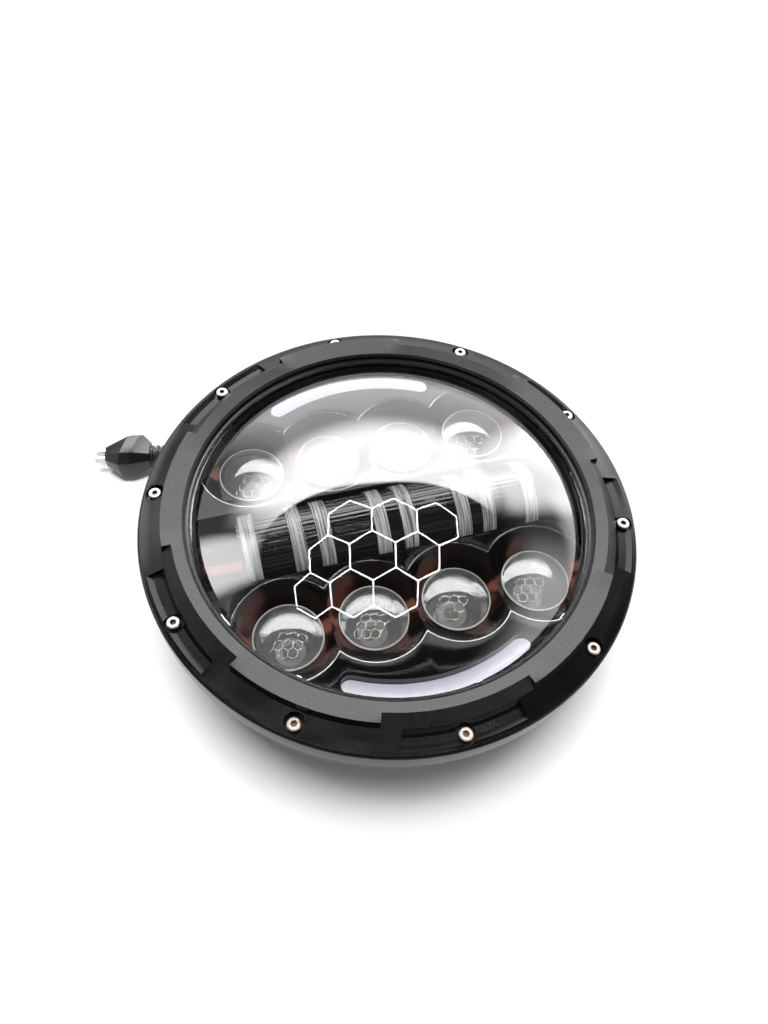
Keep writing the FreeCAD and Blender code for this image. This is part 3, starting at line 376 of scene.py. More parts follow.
@dataclass(frozen=True)
class SocketScrew(Finish):
    """Bright screw head whose hexagon socket is darkened brown as painted shade."""

    colour: Colour = (0.46, 0.41, 0.36)
    # Painted shade: dark brown for the hexagon socket below the head's top.
    socket_shade: Colour = (0.16, 0.11, 0.08)
    head_top: float = 66.2
    shade_below: float = 0.55
    bright_below: float = 0.05
    haze_size: float = 1.2
    waver: float = 0.3
    roughness: float = 0.4
    spread: float = 0.2

    def surface(self, graph: Graph) -> bpy.types.NodeSocket:
        """Bright above the head's edge, with painted brown shade below it in the socket.

        Args:
            graph: the material's nodes.

        Returns:
            The shader.
        """
        height = graph.axes()[2]
        haze = graph.noise(self.haze_size, Detail.FINE)
        # Painted shade: below the head's top the socket turns dark brown.
        foot = self.head_top - self.shade_below
        bright = (height + haze * self.waver).step(foot, self.head_top - self.bright_below)
        return graph.principled({
            "Base Color": graph.mixed(bright, self.socket_shade, self.colour),
            "Metallic": 1.0,
            "Roughness": haze.around(self.roughness, self.spread),
        })


@dataclass(frozen=True)
class ClearDome(Finish):
    """Polished clear shell that mirrors a share of the light and lets the rest through unbent."""

    tint: Colour = (0.93, 0.94, 0.94)
    index: float = 1.9
    roughness: float = 0.02
    spread: float = 0.01
    haze_size: float = 30.0

    def surface(self, graph: Graph) -> bpy.types.NodeSocket:
        """Clear film with a mirror share.

        Args:
            graph: the material's nodes.

        Returns:
            The shader.
        """
        haze = graph.noise(self.haze_size, Detail.FINE)
        mirror = graph.mirror(haze.around(self.roughness, self.spread))
        return graph.blended(graph.skin(self.index), graph.clear(self.tint), mirror)


@dataclass(frozen=True)
class ClearMoulding(Finish):
    """Clear moulded plastic with a grey body and a polished skin."""

    body: Colour = (0.3, 0.3, 0.3)
    milk: float = 0.3
    index: float = 1.6
    tint: Colour = (0.9, 0.9, 0.9)
    cloud_size: float = 3.0
    milk_spread: float = 0.3
    dulled: float = 0.7
    body_roughness: float = 0.3
    skin_roughness: float = 0.015
    skin_spread: float = 0.01

    def surface(self, graph: Graph) -> bpy.types.NodeSocket:
        """Partly clear body under a mirror skin.

        Args:
            graph: the material's nodes.

        Returns:
            The shader.
        """
        cloud = graph.noise(self.cloud_size, Detail.FINE)
        milk = cloud.around(self.milk, self.milk_spread).clamped()
        dull = graph.principled({
            "Base Color": graph.mixed(cloud, shaded(self.body, self.dulled), self.body),
            "Roughness": self.body_roughness,
        })
        body = graph.blended(milk, graph.clear(self.tint), dull)
        mirror = graph.mirror(cloud.around(self.skin_roughness, self.skin_spread))
        return graph.blended(graph.skin(self.index), body, mirror)


@dataclass(frozen=True)
class FlutedStrip(Finish):
    """Clear strip whose fine flutes run along it, with white lines painted on it as highlights."""

    colour: Colour = (0.8, 0.79, 0.78)
    tint: Colour = (0.85, 0.85, 0.85)
    pitch: float = 0.55
    depth: float = 0.15
    line_scale: Point = (1.0, 0.03, 0.03)
    line_range: Pair = (0.35, 0.68)
    # Painted highlight: how much the white lines make the strip less clear.
    line_highlight: float = 0.55
    broad_ratio: float = 4.0
    broad_scale: Point = (1.0, 0.05, 0.05)
    broad_milk: float = 0.4
    dulled: float = 0.5
    roughness: float = 0.35

    def surface(self, graph: Graph) -> bpy.types.NodeSocket:
        """Painted highlight lines and broad milky clouds on a clear body.

        Args:
            graph: the material's nodes.

        Returns:
            The shader.
        """
        lines = graph.noise(self.pitch, Detail.PLAIN, self.line_scale)
        broad = graph.noise(self.pitch * self.broad_ratio, Detail.COARSE, self.broad_scale)
        # Painted highlight: the white lines make the strip paler and less clear; the flutes are a bump and
        # the broad clouds are milky plastic.
        milk = (lines.step(*self.line_range) * self.line_highlight + broad * self.broad_milk).clamped()
        dull = graph.principled({
            "Base Color": graph.mixed(lines, shaded(self.colour, self.dulled), self.colour),
            "Roughness": self.roughness,
            "Normal": graph.bump(lines, self.depth),
        })
        return graph.blended(milk, graph.clear(self.tint), dull)


@dataclass(frozen=True)
class FlutedBlack(Finish):
    """Polished black cover with fine flutes along its length, their crests painted paler as painted
    highlight.
    """

    colour: Colour = (0.004, 0.004, 0.004)
    # Painted highlight: how much paler the flute crests are painted.
    crest_highlight: float = 2.0
    axis_height: float = 54.3
    count: float = 46.0
    depth: float = 0.08
    drift_size: float = 6.0
    drift_scale: Point = (0.05, 1.0, 1.0)
    sway: float = 6.0
    roughness: float = 0.055
    spread: float = 0.05

    def surface(self, graph: Graph) -> bpy.types.NodeSocket:
        """Black gloss broken up into parallel lines, with painted highlight on the flute crests.

        Args:
            graph: the material's nodes.

        Returns:
            The shader.
        """
        _, y, z = graph.axes()
        turn = y.maths("ARCTAN2", z - self.axis_height)
        drift = graph.noise(self.drift_size, Detail.PLAIN, self.drift_scale)
        flutes = (turn * self.count + drift * self.sway).maths("SINE") * 0.5 + 0.5
        return graph.principled({
            # Painted highlight: the flute crests are mixed towards a paler black.
            "Base Color": graph.mixed(flutes, self.colour, shaded(self.colour, self.crest_highlight)),
            "Roughness": drift.around(self.roughness, self.spread),
            "Normal": graph.bump(flutes, self.depth),
        })


@dataclass(frozen=True)
class BlackChrome(Finish):
    """Dark vacuum-metallised skin, with a warm brown tint below its face as painted reflection."""

    face: Colour = (0.014, 0.014, 0.0145)
    # Painted reflection: warm brown in the cups and trough, below the face.
    tint: Colour = (0.03, 0.0095, 0.006)
    painted_reflection_range: Pair = (56.0, 61.2)
    patch_size: float = 9.0
    waver: float = 2.0
    roughness: float = 0.09
    spread: float = 0.02

    def surface(self, graph: Graph) -> bpy.types.NodeSocket:
        """Dark mirror, with a painted warm reflection below the face.

        Args:
            graph: the material's nodes.

        Returns:
            The shader.
        """
        height = graph.axes()[2]
        patches = graph.noise(self.patch_size)
        # Painted reflection: below the face the mirror turns warm brown.
        low = 1.0 - (height + patches * self.waver).step(*self.painted_reflection_range)
        return graph.principled({
            "Base Color": graph.mixed(low, self.face, self.tint),
            "Metallic": 1.0,
            "Roughness": patches.around(self.roughness, self.spread),
        })


@dataclass(frozen=True)
class MilkyGuide(Finish):
    """Milky white light guide, with a faint painted glow though it is not lit."""

    colour: Colour = (0.76, 0.74, 0.85)
    cloud_size: float = 7.0
    dulled: float = 0.96
    roughness: float = 0.35
    spread: float = 0.1
    # Painted glow: emission on the unlit guide.
    glow: float = 0.05

    def surface(self, graph: Graph) -> bpy.types.NodeSocket:
        """White body with faint clouds and a faint painted glow.

        Args:
            graph: the material's nodes.

        Returns:
            The shader.
        """
        cloud = graph.noise(self.cloud_size)
        return graph.principled({
            "Base Color": graph.mixed(cloud, shaded(self.colour, self.dulled), self.colour),
            "Roughness": cloud.around(self.roughness, self.spread),
            "Emission Color": (*self.colour, 1.0),
            "Emission Strength": self.glow,
        })


RING_COAT = GrainedCoat("ring_coat", (0.005, 0.0045, 0.0045), 0.2, 0.3, 0.003, 0.2, 0.16)
COLLAR_COAT = GrainedCoat("collar_coat", (0.012, 0.012, 0.0125), 0.42, 0.5, 0.12, 0.9, 0.42)
CHAMFER_COAT = GrainedCoat("chamfer_coat", (0.01, 0.01, 0.0105), 0.38, 0.5, 0.1, 0.9, 0.14)
HOUSING_COAT = GrainedCoat("housing_coat", (0.028, 0.028, 0.029), 0.5, 0.7, 0.06)
GASKET_RUBBER = GrainedCoat("gasket_rubber", (0.012, 0.012, 0.013), 0.22, 0.6, 0.01, 0.3)
CORD_SHEATH = GrainedCoat("cord_sheath", (0.008, 0.008, 0.0085), 0.4, 0.5, 0.02)
PLUG_PLASTIC = GrainedCoat("plug_plastic", (0.009, 0.0085, 0.0085), 0.3, 0.4, 0.012)
CAPACITOR_SLEEVE = GrainedCoat("capacitor_sleeve", (0.04, 0.05, 0.1), 0.35, 0.5, 0.01)
CHIP_BLACK = GrainedCoat("chip_black", (0.02, 0.02, 0.02), 0.55, 0.2, 0.01)
TERMINAL_GREY = GrainedCoat("terminal_grey", (0.35, 0.37, 0.38), 0.5, 0.4, 0.01, 0.06)
BOARD_GREEN = GrainedCoat("board_green", (0.05, 0.22, 0.11), 0.4, 0.8, 0.02, 0.15)
BOARD_WHITE = GrainedCoat("board_white", (0.8, 0.8, 0.78), 0.45, 0.8, 0.02, 0.05)
PAD_GREY = GrainedCoat("pad_grey", (0.45, 0.47, 0.5), 0.8, 0.5, 0.02, 0.08)
EMITTER_YELLOW = GrainedCoat("emitter_yellow", (0.42, 0.37, 0.16), 0.4, 0.3, 0.01, 0.08)
# Painted highlight: pale grey ring at each projector lens's edge.
PROJECTOR_EDGE_HIGHLIGHT = GrainedCoat("projector_edge_highlight", (0.6, 0.6, 0.6), 0.3, 0.5, 0.01, 0.2)
SCREW_STEEL = BrightMetal("screw_steel")
BLADE_METAL = BrightMetal("blade_metal", (0.78, 0.76, 0.73), 0.2)
SPREADER_METAL = BrightMetal("spreader_metal", (0.7, 0.71, 0.72), 0.34, 0.5)
COIL_COPPER = BrightMetal("coil_copper", (0.6, 0.28, 0.12), 0.3, 0.4)
# Paler metal on the rounded cup rims: the rounding catches real light, and the paler colour is painted
# highlight.
RIM_HIGHLIGHT_METAL = BrightMetal("rim_highlight_metal", (0.3, 0.29, 0.28), 0.12)
RING_SCREW = SocketScrew("ring_screw_steel")
LENS_CLEAR = ClearDome("lens_clear", (0.93, 0.94, 0.94), 1.85)
LENS_INSIDE = ClearDome("lens_inside", (0.98, 0.98, 0.98), 1.03)
PROJECTOR_CLEAR = ClearMoulding("projector_clear", (0.25, 0.25, 0.25), 0.32, 1.8)
RIB_CLEAR = FlutedStrip("rib_clear")
COVER_SMOKE = FlutedBlack("cover_smoke")
REFLECTOR_CHROME = BlackChrome("reflector_chrome")
GUIDE_WHITE = MilkyGuide("guide_white")


class Bench:
    """Mesh tools that every sub-assembly uses, with gaps in millimetres and angles in degrees."""

    JOIN_GAP = 0.002
    TURN_GAP = 0.0005
    FLAT_ANGLE = 0.4
    SHARP_ANGLE = 24.0
    BEVEL_STEPS = 2

    @staticmethod
    def keep(shape: bmesh.types.BMesh, name: str, finishes: Iterable[Finish], slot: str,
             replaced: Iterable[str], shade: Shade = Shade.EDGED) -> bpy.types.Object:
        """Turn a bmesh into a piece that rides on the part.

        Args:
            shape: the finished bmesh, freed here.
            name: the piece's name.
            finishes: one finish for each material index.
            slot: the record's material slot, not used.
            replaced: the solids that the piece stands for.
            shade: how its edges are shaded.

        Returns:
            The new object.
        """
        mesh = bpy.data.meshes.new(name)
        shape.to_mesh(mesh)
        shape.free()
        stored = mesh.attributes.get("custom_normal")
        if stored is not None:
            mesh.attributes.remove(stored)
        piece = placed(name, mesh)
        for finish in finishes:
            mesh.materials.append(finish.material())
        mesh.polygons.foreach_set("use_smooth", [True] * len(mesh.polygons))
        mesh.set_sharp_from_angle(angle=math.radians(shade.value))
        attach(piece, BODY)
        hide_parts(*replaced)
        LOG.info("%s: %d faces", name, len(mesh.polygons))
        return piece

    @staticmethod
    def merged(node: str) -> bmesh.types.BMesh:
        """Copy a solid's mesh and join its loose triangles.

        Args:
            node: the solid.

        Returns:
            The new bmesh, with one material.
        """
        shape = bmesh.new()
        shape.from_mesh(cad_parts[node].data)
        bmesh.ops.remove_doubles(shape, verts=shape.verts, dist=Bench.JOIN_GAP * MM)
        for face in shape.faces:
            face.material_index = 0
        return shape

    @staticmethod
    def is_sharp(edge: bmesh.types.BMEdge) -> bool:
        """Whether the faces at an edge meet at a clear angle."""
        return edge.calc_face_angle(0.0) > math.radians(Bench.SHARP_ANGLE)

    @staticmethod
    def bevelled(shape: bmesh.types.BMesh, edges: list[bmesh.types.BMEdge],
                 width: float) -> list[bmesh.types.BMFace]:
        """Round edges off.

        Args:
            shape: the bmesh.
            edges: its edges to round.
            width: the bevel's width in millimetres.

        Returns:
            The new faces.
        """
        made = bmesh.ops.bevel(shape, geom=edges, offset=width * MM, offset_type="OFFSET", affect="EDGES",
                               segments=Bench.BEVEL_STEPS, profile=0.5, material=-1, clamp_overlap=True)
        return made["faces"]

    @staticmethod
    def smooth_copy(node: str, finish: Finish, slot: str, soften: float = 0.0) -> bpy.types.Object:
        """Stand-in for a solid with joined faces, even shading and softened edges.

        Args:
            node: the solid.
            finish: its finish.
            slot: the record's material slot.
            soften: width of the bevel on its edges in millimetres.

        Returns:
            The new piece.
        """
        shape = Bench.merged(node)
        if soften:
            flat = math.radians(Bench.FLAT_ANGLE)
            bmesh.ops.dissolve_limit(shape, angle_limit=flat, verts=shape.verts, edges=shape.edges)
            Bench.bevelled(shape, [edge for edge in shape.edges if Bench.is_sharp(edge)], soften)
        return Bench.keep(shape, node + "_finished", [finish], slot, [node])

    @staticmethod
    def turned(corners: Iterable[Pair], steps: int) -> bmesh.types.BMesh:
        """Turn a line about Z into a closed shape.

        Args:
            corners: the line as (radius, z) in millimetres.
            steps: how many steps make the full turn.

        Returns:
            The new bmesh, with its faces outward.
        """
        shape = bmesh.new()
        line = [shape.verts.new((radius * MM, 0.0, z * MM)) for radius, z in corners]
        edges = [shape.edges.new(pair) for pair in zip(line, line[1:])]
        bmesh.ops.spin(shape, geom=line + edges, cent=(0.0, 0.0, 0.0), axis=(0.0, 0.0, 1.0),
                       angle=math.tau, steps=steps, use_merge=True, use_duplicate=False)
        bmesh.ops.remove_doubles(shape, verts=shape.verts, dist=Bench.TURN_GAP * MM)
        bmesh.ops.recalc_face_normals(shape, faces=shape.faces)
        return shape

    @staticmethod
    def cap(foot: float, height: float, foot_z: float, rings: int) -> list[Pair]:
        """Work out the line of a round cap from its foot to its top.

        Args:
            foot: radius of the foot.
            height: height of the cap.
            foot_z: level of the foot.
            rings: how many steps the line has.

        Returns:
            The corners as (radius, z).
        """
        ball = (foot ** 2 + height ** 2) / (2.0 * height)
        sweep = math.asin(foot / ball)
        centre = foot_z + height - ball
        angles = [sweep * (1.0 - ring / rings) for ring in range(rings + 1)]
        return [(ball * math.sin(angle), centre + ball * math.cos(angle)) for angle in angles]


@dataclass
class FrontRing:
    """Trim ring with its screws and rubber rings."""

    collar_foot: float = 67.6
    collar_bevel: float = 70.0
    collar_lip: float = 74.0
    dish: float = 1.5
    level_normal: float = 0.92
    slope_normal: float = 0.3

    def casting(self) -> None:
        """Dish the collar's top and coat the top, the chamfers and the rest."""
        shape = Bench.merged("trim_ring")
        lip = [vert for vert in shape.verts if vert.co.z > self.collar_bevel * MM
               and math.hypot(vert.co.x, vert.co.y) < self.collar_lip * MM]
        bmesh.ops.translate(shape, verts=lip, vec=(0.0, 0.0, -self.dish * MM))
        shape.normal_update()
        for face in shape.faces:
            if face.calc_center_median().z < self.collar_foot * MM or face.normal.z < self.slope_normal:
                face.material_index = 0
            elif face.normal.z > self.level_normal:
                face.material_index = 1
            else:
                face.material_index = 2
        coats = [RING_COAT, COLLAR_COAT, CHAMFER_COAT]
        Bench.keep(shape, "trim_ring_finished", coats, "ring_coat", ["trim_ring"], Shade.CRISP)

    def build(self) -> None:
        """Finish the ring, the screws and the rubber."""
        self.casting()
        Bench.smooth_copy("ring_screws", RING_SCREW, "screw_steel")
        Bench.smooth_copy("lens_gasket", GASKET_RUBBER, "gasket_rubber")
        Bench.smooth_copy("housing_seal", GASKET_RUBBER, "gasket_rubber")


@dataclass
class FrontLens:
    """Clear dome, turned again with a fine and even mesh."""

    foot_radius: float = 70.2
    wall: float = 2.8
    rings: int = 40
    steps: int = 160

    def build(self) -> None:
        """Turn the outside and the inside of the dome."""
        low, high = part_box("front_lens")
        under = low.z / MM
        rim = under + self.wall
        top = high.z / MM
        edge = high.x / MM
        outside = Bench.cap(self.foot_radius, top - rim, rim, self.rings)
        inside = Bench.cap(self.foot_radius - self.wall, top - self.wall - under, under, self.rings)
        shape = Bench.turned([*reversed(outside), (edge, rim), (edge, under), *inside], self.steps)
        for face in shape.faces:
            face.material_index = 1 if face.normal.z < 0.0 else 0
        Bench.keep(shape, "front_lens_finished", [LENS_CLEAR, LENS_INSIDE], "lens_clear", ["front_lens"])


@dataclass
class ProjectorRow:
    """The eight projector lenses, each turned with an even mesh."""

    count: int = PROJECTORS
    edge: float = 2.4
    # Share of the radius beyond which the lens's edge gets its painted highlight.
    edge_line: float = 0.97
    under_normal: float = -0.5
    rings: int = 24
    steps: int = 64

    def lens(self, node: str) -> None:
        """Turn one lens, paint a highlight ring on its edge and set it in its cup.

        Args:
            node: the lens's solid.
        """
        low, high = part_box(node)
        radius = (high.x - low.x) / 2.0 / MM
        foot = low.z / MM
        top = high.z / MM
        crown = Bench.cap(radius, top - foot - self.edge, foot + self.edge, self.rings)
        shape = Bench.turned([(0.0, foot), (radius, foot)] + crown, self.steps)
        for face in shape.faces:
            # The outer edge, where it faces up, gets a pale painted highlight.
            place = face.calc_center_median()
            outer = math.hypot(place.x, place.y) > self.edge_line * radius * MM
            face.material_index = 1 if outer and face.normal.z > self.under_normal else 0
        middle = (low + high) / 2.0
        bmesh.ops.translate(shape, verts=shape.verts, vec=(middle.x, middle.y, 0.0))
        Bench.keep(shape, node + "_finished", [PROJECTOR_CLEAR, PROJECTOR_EDGE_HIGHLIGHT], "projector_clear", [node])

    def build(self) -> None:
        """Turn one lens for each cup."""
        for index in range(1, self.count + 1):
            self.lens(f"projector_lens_{index}")


@dataclass
class Reflector:
    """Black chromed moulding and the light pieces that sit in it."""

    face_level: float = 60.5
    face_gap: float = 0.01
    rim_radius: float = 19.0
    rim_gap: float = 0.05
    rim_round: float = 0.22
    cups: int = PROJECTORS
    ribs: int = 8
    guide_round: float = 0.25

    def rim_points(self, shape: bmesh.types.BMesh) -> set[bmesh.types.BMVert]:
        """Find the points of the moulding on the rims of its cups.

        Args:
            shape: the moulding.

        Returns:
            The points.
        """
        boxes = [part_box(f"projector_lens_{index}") for index in range(1, self.cups + 1)]
        middles = [((low + high) / 2.0).xy for low, high in boxes]
        level = [vert for vert in shape.verts if abs(vert.co.z - self.face_level * MM) < self.face_gap * MM]
        return {vert for vert in level for middle in middles
                if abs((vert.co.xy - middle).length - self.rim_radius * MM) < self.rim_gap * MM}

    def moulding(self) -> None:
        """Finish the moulding and break the rims of its cups, in a paler metal as painted highlight."""
        shape = Bench.merged("reflector")
        points = self.rim_points(shape)
        rims = [edge for edge in shape.edges if points.issuperset(edge.verts) and Bench.is_sharp(edge)]
        # Painted highlight: the rounded rims take a paler metal than the black chrome.
        for face in Bench.bevelled(shape, rims, self.rim_round):
            face.material_index = 1
        Bench.keep(shape, "reflector_finished", [REFLECTOR_CHROME, RIM_HIGHLIGHT_METAL], "reflector_chrome",
                   ["reflector"], Shade.CRISP)

    def build(self) -> None:
        """Finish the moulding, the ribs, the cover, the bar and the arcs."""
        self.moulding()
        for index in range(1, self.ribs + 1):
            Bench.smooth_copy(f"band_rib_{index}", RIB_CLEAR, "rib_clear")
        Bench.smooth_copy("band_cover", COVER_SMOKE, "cover_smoke")
        Bench.smooth_copy("centre_light_bar", RIB_CLEAR, "rib_clear")
        for side in SIDES:
            Bench.smooth_copy(f"drl_guide_{side}", GUIDE_WHITE, "guide_white", self.guide_round)


@dataclass
class RearBody:
    """Housing, gland, breather and everything inside."""

    emitters: int = PROJECTORS
    finishes: dict[str, Finish] = field(default_factory=lambda: {
        "heat_spreader": SPREADER_METAL, "spreader_screws": SCREW_STEEL, "board_screws": SCREW_STEEL,
        "driver_screws": SCREW_STEEL, "driver_board": BOARD_GREEN, "driver_coil": COIL_COPPER,
        "driver_capacitor": CAPACITOR_SLEEVE, "driver_chip": CHIP_BLACK, "terminal_block": TERMINAL_GREY,
        "supply_lead": CORD_SHEATH, "centre_led_strip": BOARD_WHITE,
    })

    def dress(self) -> None:
        """Give the inner solids their finishes."""
        dressed = dict(self.finishes)
        for side in SIDES:
            dressed[f"led_board_{side}"] = BOARD_WHITE
            dressed[f"drl_strip_{side}"] = BOARD_WHITE
            dressed[f"thermal_pad_{side}"] = PAD_GREY
        for index in range(1, self.emitters + 1):
            dressed[f"led_emitter_{index}"] = EMITTER_YELLOW
        for node, finish in dressed.items():
            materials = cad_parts[node].data.materials
            materials.clear()
            materials.append(finish.material())
            LOG.info("%s: %s", node, finish.name)

    def build(self) -> None:
        """Finish the casting and its rubber pieces and dress the inner solids."""
        Bench.smooth_copy("rear_housing", HOUSING_COAT, "housing_coat")
        Bench.smooth_copy("cable_gland", GASKET_RUBBER, "gasket_rubber")
        Bench.smooth_copy("breather_vent", GASKET_RUBBER, "gasket_rubber")
        self.dress()


@dataclass
class CordAndPlug:
    """Short cord from the gland to the plug."""

    diameter: float = 5.0
    length: float = 163.1
    relief_round: float = 0.2
    plug_round: float = 0.35
    blade_round: float = 0.12
    round_steps: int = 6
    route_steps: int = 10
    route: tuple[Point, ...] = (
        (36.0, 62.36, 24.4), (42.0, 72.74, 24.4), (42.9, 85.2, 23.4), (38.0, 97.3, 20.6),
        (27.6, 106.6, 16.4), (12.7, 110.9, 11.4), (-4.7, 108.8, 6.4), (-23.0, 101.6, 3.1),
        (-40.5, 91.0, 3.4), (-58.1, 84.0, 8.5), (-75.7, 87.65, 8.5),
    )

    def plug(self) -> list[bpy.types.Object]:
        """Finish the plug.

        Returns:
            Its pieces.
        """
        return [
            Bench.smooth_copy("plug_strain_relief", CORD_SHEATH, "cord_sheath", self.relief_round),
            Bench.smooth_copy("plug_body", PLUG_PLASTIC, "plug_plastic", self.plug_round),
            Bench.smooth_copy("plug_blade_1", BLADE_METAL, "blade_metal", self.blade_round),
            Bench.smooth_copy("plug_blade_2", BLADE_METAL, "blade_metal", self.blade_round),
        ]

    def curve(self) -> bpy.types.Curve:
        """Lay the cord along its route.

        Returns:
            The bevelled curve.
        """
        curve = bpy.data.curves.new("cord_finished", "CURVE")
        curve.dimensions = "3D"
        curve.bevel_depth = self.diameter / 2.0 * MM
        curve.bevel_resolution = self.round_steps
        curve.resolution_u = self.route_steps
        curve.use_fill_caps = True
        spline = curve.splines.new("NURBS")
        spline.points.add(len(self.route) - 1)
        for point, place in zip(spline.points, self.route):
            point.co = (*(part * MM for part in place), 1.0)
        spline.order_u = 3
        spline.use_endpoint_u = True
        curve.materials.append(CORD_SHEATH.material())
        return curve

    def build(self) -> None:
        """Finish the plug and lay the cord to it."""
        pieces = self.plug()
        cord = placed("cord_finished", self.curve())
        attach(cord, BODY)
        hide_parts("cord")
        LOG.info("cord_finished: %d points", len(self.route))


@dataclass(frozen=True)
class PaleFloor(Finish):
    """Pale floor that reads as white and keeps the shadow."""

    colour: Colour = (0.86, 0.86, 0.86)
    roughness: float = 0.9
    lift: float = 0.06
    lift_range: Pair = (500.0, 1500.0)

    def surface(self, graph: Graph) -> bpy.types.NodeSocket:
        """Matt floor with a little light of its own for the eye, more of it far out.

        Args:
            graph: the material's nodes.

        Returns:
            The shader.
        """
        x, y, _ = graph.axes()
        away = (x * x + y * y).maths("SQRT").step(*self.lift_range)
        return graph.principled({
            "Base Color": (*self.colour, 1.0),
            "Roughness": self.roughness,
            "Emission Color": WHITE,
            "Emission Strength": graph.seen() * (away * (1.0 - self.lift) + self.lift),
        })


@dataclass(frozen=True)
class TubeGlow(Finish):
    """Even white light of a tube."""

    strength: float

    def surface(self, graph: Graph) -> bpy.types.NodeSocket:
        """Plain emission."""
        inputs = {"Color": WHITE, "Strength": self.strength}
        return graph.node("ShaderNodeEmission", {}, inputs).outputs[0]


@dataclass(frozen=True)
class LitPatch:
    """Bright patch of the surroundings.

    Its light is full within the inner angle of its azimuth and gone beyond the outer one, in degrees.
    It rises over the heights of its foot and falls over those of its top, as shares of the tent's radius.
    """

    azimuth: float
    inner: float
    outer: float
    light: float
    foot: Optional[Pair] = None
    top: Optional[Pair] = None


@dataclass(frozen=True)
class TentSkin(Finish):
    """Surrounding light: a bright band at the back with two windows beside it, walls and a dark ceiling."""

    radius: float
    band: LitPatch = LitPatch(80.0, 48.0, 67.0, 9.3, (0.42, 0.66))
    arch_middle: float = 79.0
    arch_rise: float = 0.28
    arch_top: Pair = (0.578, 0.594)
    windows: tuple[LitPatch, ...] = (
        LitPatch(28.0, 6.0, 17.0, 6.3, None, (0.56, 0.7)),
        LitPatch(4.0, 10.0, 18.0, 2.835, None, (0.22, 0.36)),
        LitPatch(157.0, 6.0, 13.0, 6.3, (0.2, 0.32), (0.64, 0.72)),
    )
    walls: tuple[LitPatch, ...] = (
        LitPatch(72.0, 25.0, 50.0, 1.9),
        LitPatch(-30.0, 18.0, 38.0, 2.0, (0.08, 0.25)),
    )
    wall_top: Pair = (0.5, 0.72)
    rest: float = 0.3
    ceiling: float = 0.04

    def surface(self, graph: Graph) -> bpy.types.NodeSocket:
        """Light by height and direction.

        Args:
            graph: the material's nodes.

        Returns:
            The shader.
        """
        x, y, z = graph.axes()
        height = z / self.radius
        flat = (x * x + y * y).maths("SQRT")

        def facing(azimuth: float) -> Value:
            """How far a direction turns towards an azimuth."""
            turn = math.radians(azimuth)
            return (x * math.cos(turn) + y * math.sin(turn)) / flat

        def shown(patch: LitPatch) -> Value:
            """Work out the light of one patch.

            Args:
                patch: the patch.

            Returns:
                Its light, faded out at its edges.
            """
            outer = math.cos(math.radians(patch.outer))
            inner = math.cos(math.radians(patch.inner))
            light = facing(patch.azimuth).step(outer, inner) * patch.light
            if patch.foot is not None:
                light = light * height.step(*patch.foot)
            if patch.top is not None:
                light = light * (1.0 - height.step(*patch.top))
            return light

        arch = 1.0 - (height - facing(self.arch_middle) * self.arch_rise).step(*self.arch_top)
        windows = sum(shown(patch) for patch in self.windows)
        walls = sum(shown(patch) for patch in self.walls) + self.rest
        light = (shown(self.band) * arch).maths("MAXIMUM", windows)
        light = light + walls * (1.0 - height.step(*self.wall_top)) + self.ceiling
        return graph.node("ShaderNodeEmission", {}, {"Strength": light}).outputs[0]


@dataclass
class CeilingTubes:
    """Net of hexagonal tube lamps above the part, seen only in mirrors and glass."""

    height: float = 1200.0
    origin: Pair = (-177.0, 363.4)
    cell: float = 194.2
    turn: float = -14.1
    tube: float = 4.8
    tube_sides: int = 10
    rows: int = 3
    columns: int = 3
    glow: float = 22.0

    def corners(self) -> tuple[list[Point], list[tuple[int, int]]]:
        """Work out the net.

        Returns:
            The corners and the pairs of them that a tube joins.
        """
        places: list[Point] = []
        pairs: set[tuple[int, int]] = set()
        spin = Matrix.Rotation(math.radians(self.turn), 2)
        for row in range(self.rows):
            for column in range(self.columns):
                middle = Vector((math.sqrt(3.0) * (column - row / 2.0), -1.5 * row))
                ring = []
                for side in range(HEXAGON):
                    angle = math.tau * (side + 0.5) / HEXAGON
                    spot = spin @ ((middle + Vector((math.cos(angle), math.sin(angle)))) * self.cell)
                    place = (spot.x + self.origin[0], spot.y + self.origin[1], self.height)
                    near = [index for index, known in enumerate(places)
                            if math.dist(known, place) < self.cell / 4.0]
                    if not near:
                        places.append(place)
                    ring.append(near[0] if near else len(places) - 1)
                for first, second in zip(ring, ring[1:] + ring[:1]):
                    pairs.add((min(first, second), max(first, second)))
        return places, sorted(pairs)

    def shape(self) -> bmesh.types.BMesh:
        """Make one thin rod for each tube.

        Returns:
            The rods as one bmesh.
        """
        shape = bmesh.new()
        places, pairs = self.corners()
        for first, second in pairs:
            start = Vector(places[first]) * MM
            end = Vector(places[second]) * MM
            along = (end - start).to_track_quat("Z", "Y").to_matrix().to_4x4()
            spot = Matrix.Translation((start + end) / 2.0) @ along
            bmesh.ops.create_cone(shape, cap_ends=True, segments=self.tube_sides, radius1=self.tube * MM,
                                  radius2=self.tube * MM, depth=(end - start).length, matrix=spot)
        return shape


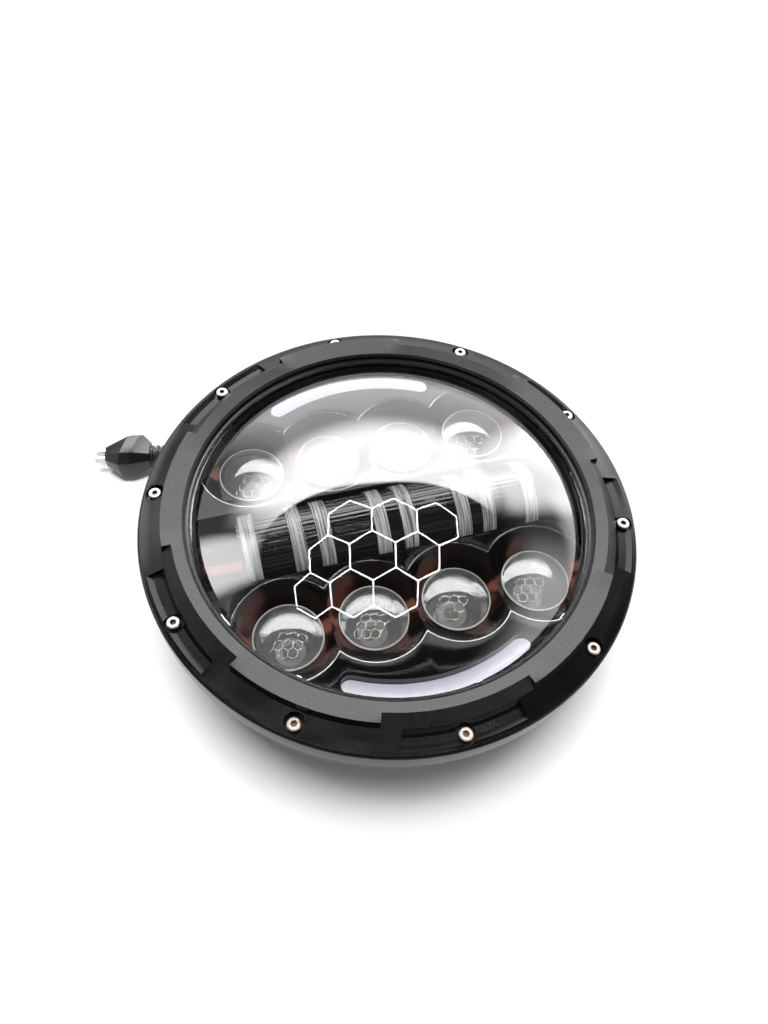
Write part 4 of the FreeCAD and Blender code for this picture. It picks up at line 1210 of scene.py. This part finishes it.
@dataclass
class Studio:
    """Floor, surrounding light, lamp and camera.

    The camera's place, its sensor and the floor's gap are in millimetres, the other lengths in metres.
    """

    camera_place: Point = (-54.4, -143.4, 295.9)
    camera_forward: Point = (0.18778519, 0.51685738, -0.83522163)
    camera_up: Point = (0.19687257, 0.81328599, 0.54754642)
    focal_pixels: float = 768.905
    image_height: float = 1024.0
    sensor: float = 36.0
    clip_start: float = 0.005
    floor_half: float = 4.0
    floor_gap: float = 0.1
    tent_radius: float = 1.6
    tent_foot: float = 0.01
    tent_steps: int = 48
    lamp_place: Point = (-0.12, -0.1, 2.4)
    lamp_aim: Point = (0.0, 0.0, 0.05)
    lamp_size: float = 0.75
    lamp_power: float = 62.0
    room_light: float = 0.1
    tubes: CeilingTubes = field(default_factory=CeilingTubes)

    def build(self) -> None:
        """Make the set and the camera."""
        bpy.context.scene.view_settings.view_transform = "Standard"
        self.floor()
        self.surroundings()
        self.tent()
        self.lamp()
        self.camera()

    def floor(self) -> None:
        """Lay a plain pale floor under the fins."""
        shape = bmesh.new()
        bmesh.ops.create_grid(shape, x_segments=1, y_segments=1, size=self.floor_half)
        bmesh.ops.translate(shape, verts=shape.verts, vec=(0.0, 0.0, -self.floor_gap * MM))
        self.stand("floor", shape, PaleFloor("floor_paper"))

    def tent(self) -> None:
        """Set up the light round the part and the tubes above it."""
        shape = bmesh.new()
        bmesh.ops.create_uvsphere(shape, u_segments=self.tent_steps, v_segments=self.tent_steps,
                                  radius=self.tent_radius)
        bmesh.ops.bisect_plane(shape, geom=shape.verts[:] + shape.edges[:] + shape.faces[:], clear_inner=True,
                               plane_co=(0.0, 0.0, self.tent_foot), plane_no=(0.0, 0.0, 1.0))
        hidden = (Ray.CAMERA, Ray.DIFFUSE, Ray.SHADOW)
        self.stand("light_tent", shape, TentSkin("tent_skin", self.tent_radius / MM), hidden)
        self.stand("ceiling_tubes", self.tubes.shape(), TubeGlow("tube_glow", self.tubes.glow), hidden)

    def stand(self, name: str, shape: bmesh.types.BMesh, finish: Finish, hidden: Iterable[Ray] = ()) -> None:
        """Put a stage object on the set.

        Args:
            name: the object's name.
            shape: its bmesh, freed here.
            finish: its finish.
            hidden: the kinds of ray that don't see it.
        """
        mesh = bpy.data.meshes.new(name)
        shape.to_mesh(mesh)
        shape.free()
        mesh.materials.append(finish.material())
        prop = placed(name, mesh)
        for ray in hidden:
            setattr(prop, ray.value, False)

    def surroundings(self) -> None:
        """Make the surroundings white for the eye."""
        world = bpy.data.worlds.new("surroundings")
        bpy.context.scene.world = world
        world.use_nodes = True
        graph = Graph(world.node_tree)
        camera = graph.value("ShaderNodeLightPath", {}, {}, "Is Camera Ray")
        strength = camera * (1.0 - self.room_light) + self.room_light
        light = graph.node("ShaderNodeBackground", {}, {"Color": WHITE, "Strength": strength}).outputs[0]
        graph.output(light, "ShaderNodeOutputWorld")

    def lamp(self) -> None:
        """Hang a soft square lamp that looks at the part."""
        data = bpy.data.lights.new("top_light", "AREA")
        data.size = self.lamp_size
        data.energy = self.lamp_power
        lamp = placed("top_light", data)
        lamp.location = self.lamp_place
        aim = Vector(self.lamp_aim) - Vector(self.lamp_place)
        lamp.rotation_euler = aim.to_track_quat("-Z", "Y").to_euler()
        lamp.visible_camera = False
        lamp.visible_glossy = False

    def camera(self) -> None:
        """Set the camera at the viewing angle of the photograph."""
        data = bpy.data.cameras.new("camera")
        data.sensor_width = self.sensor
        data.lens = self.focal_pixels * self.sensor / self.image_height
        data.clip_start = self.clip_start
        camera = placed("camera", data)
        forward = Vector(self.camera_forward)
        up = Vector(self.camera_up)
        turn = Matrix((forward.cross(up), up, -forward)).transposed().to_4x4()
        camera.matrix_world = Matrix.Translation(Vector(self.camera_place) * MM) @ turn
        bpy.context.scene.camera = camera


def main() -> None:
    """Build every sub-assembly and the set."""
    logging.basicConfig(level=logging.INFO, format="%(message)s")
    for assembly in (FrontRing(), FrontLens(), ProjectorRow(), Reflector(), RearBody(), CordAndPlug()):
        assembly.build()
    Studio().build()


if __name__ == "__main__":
    main()
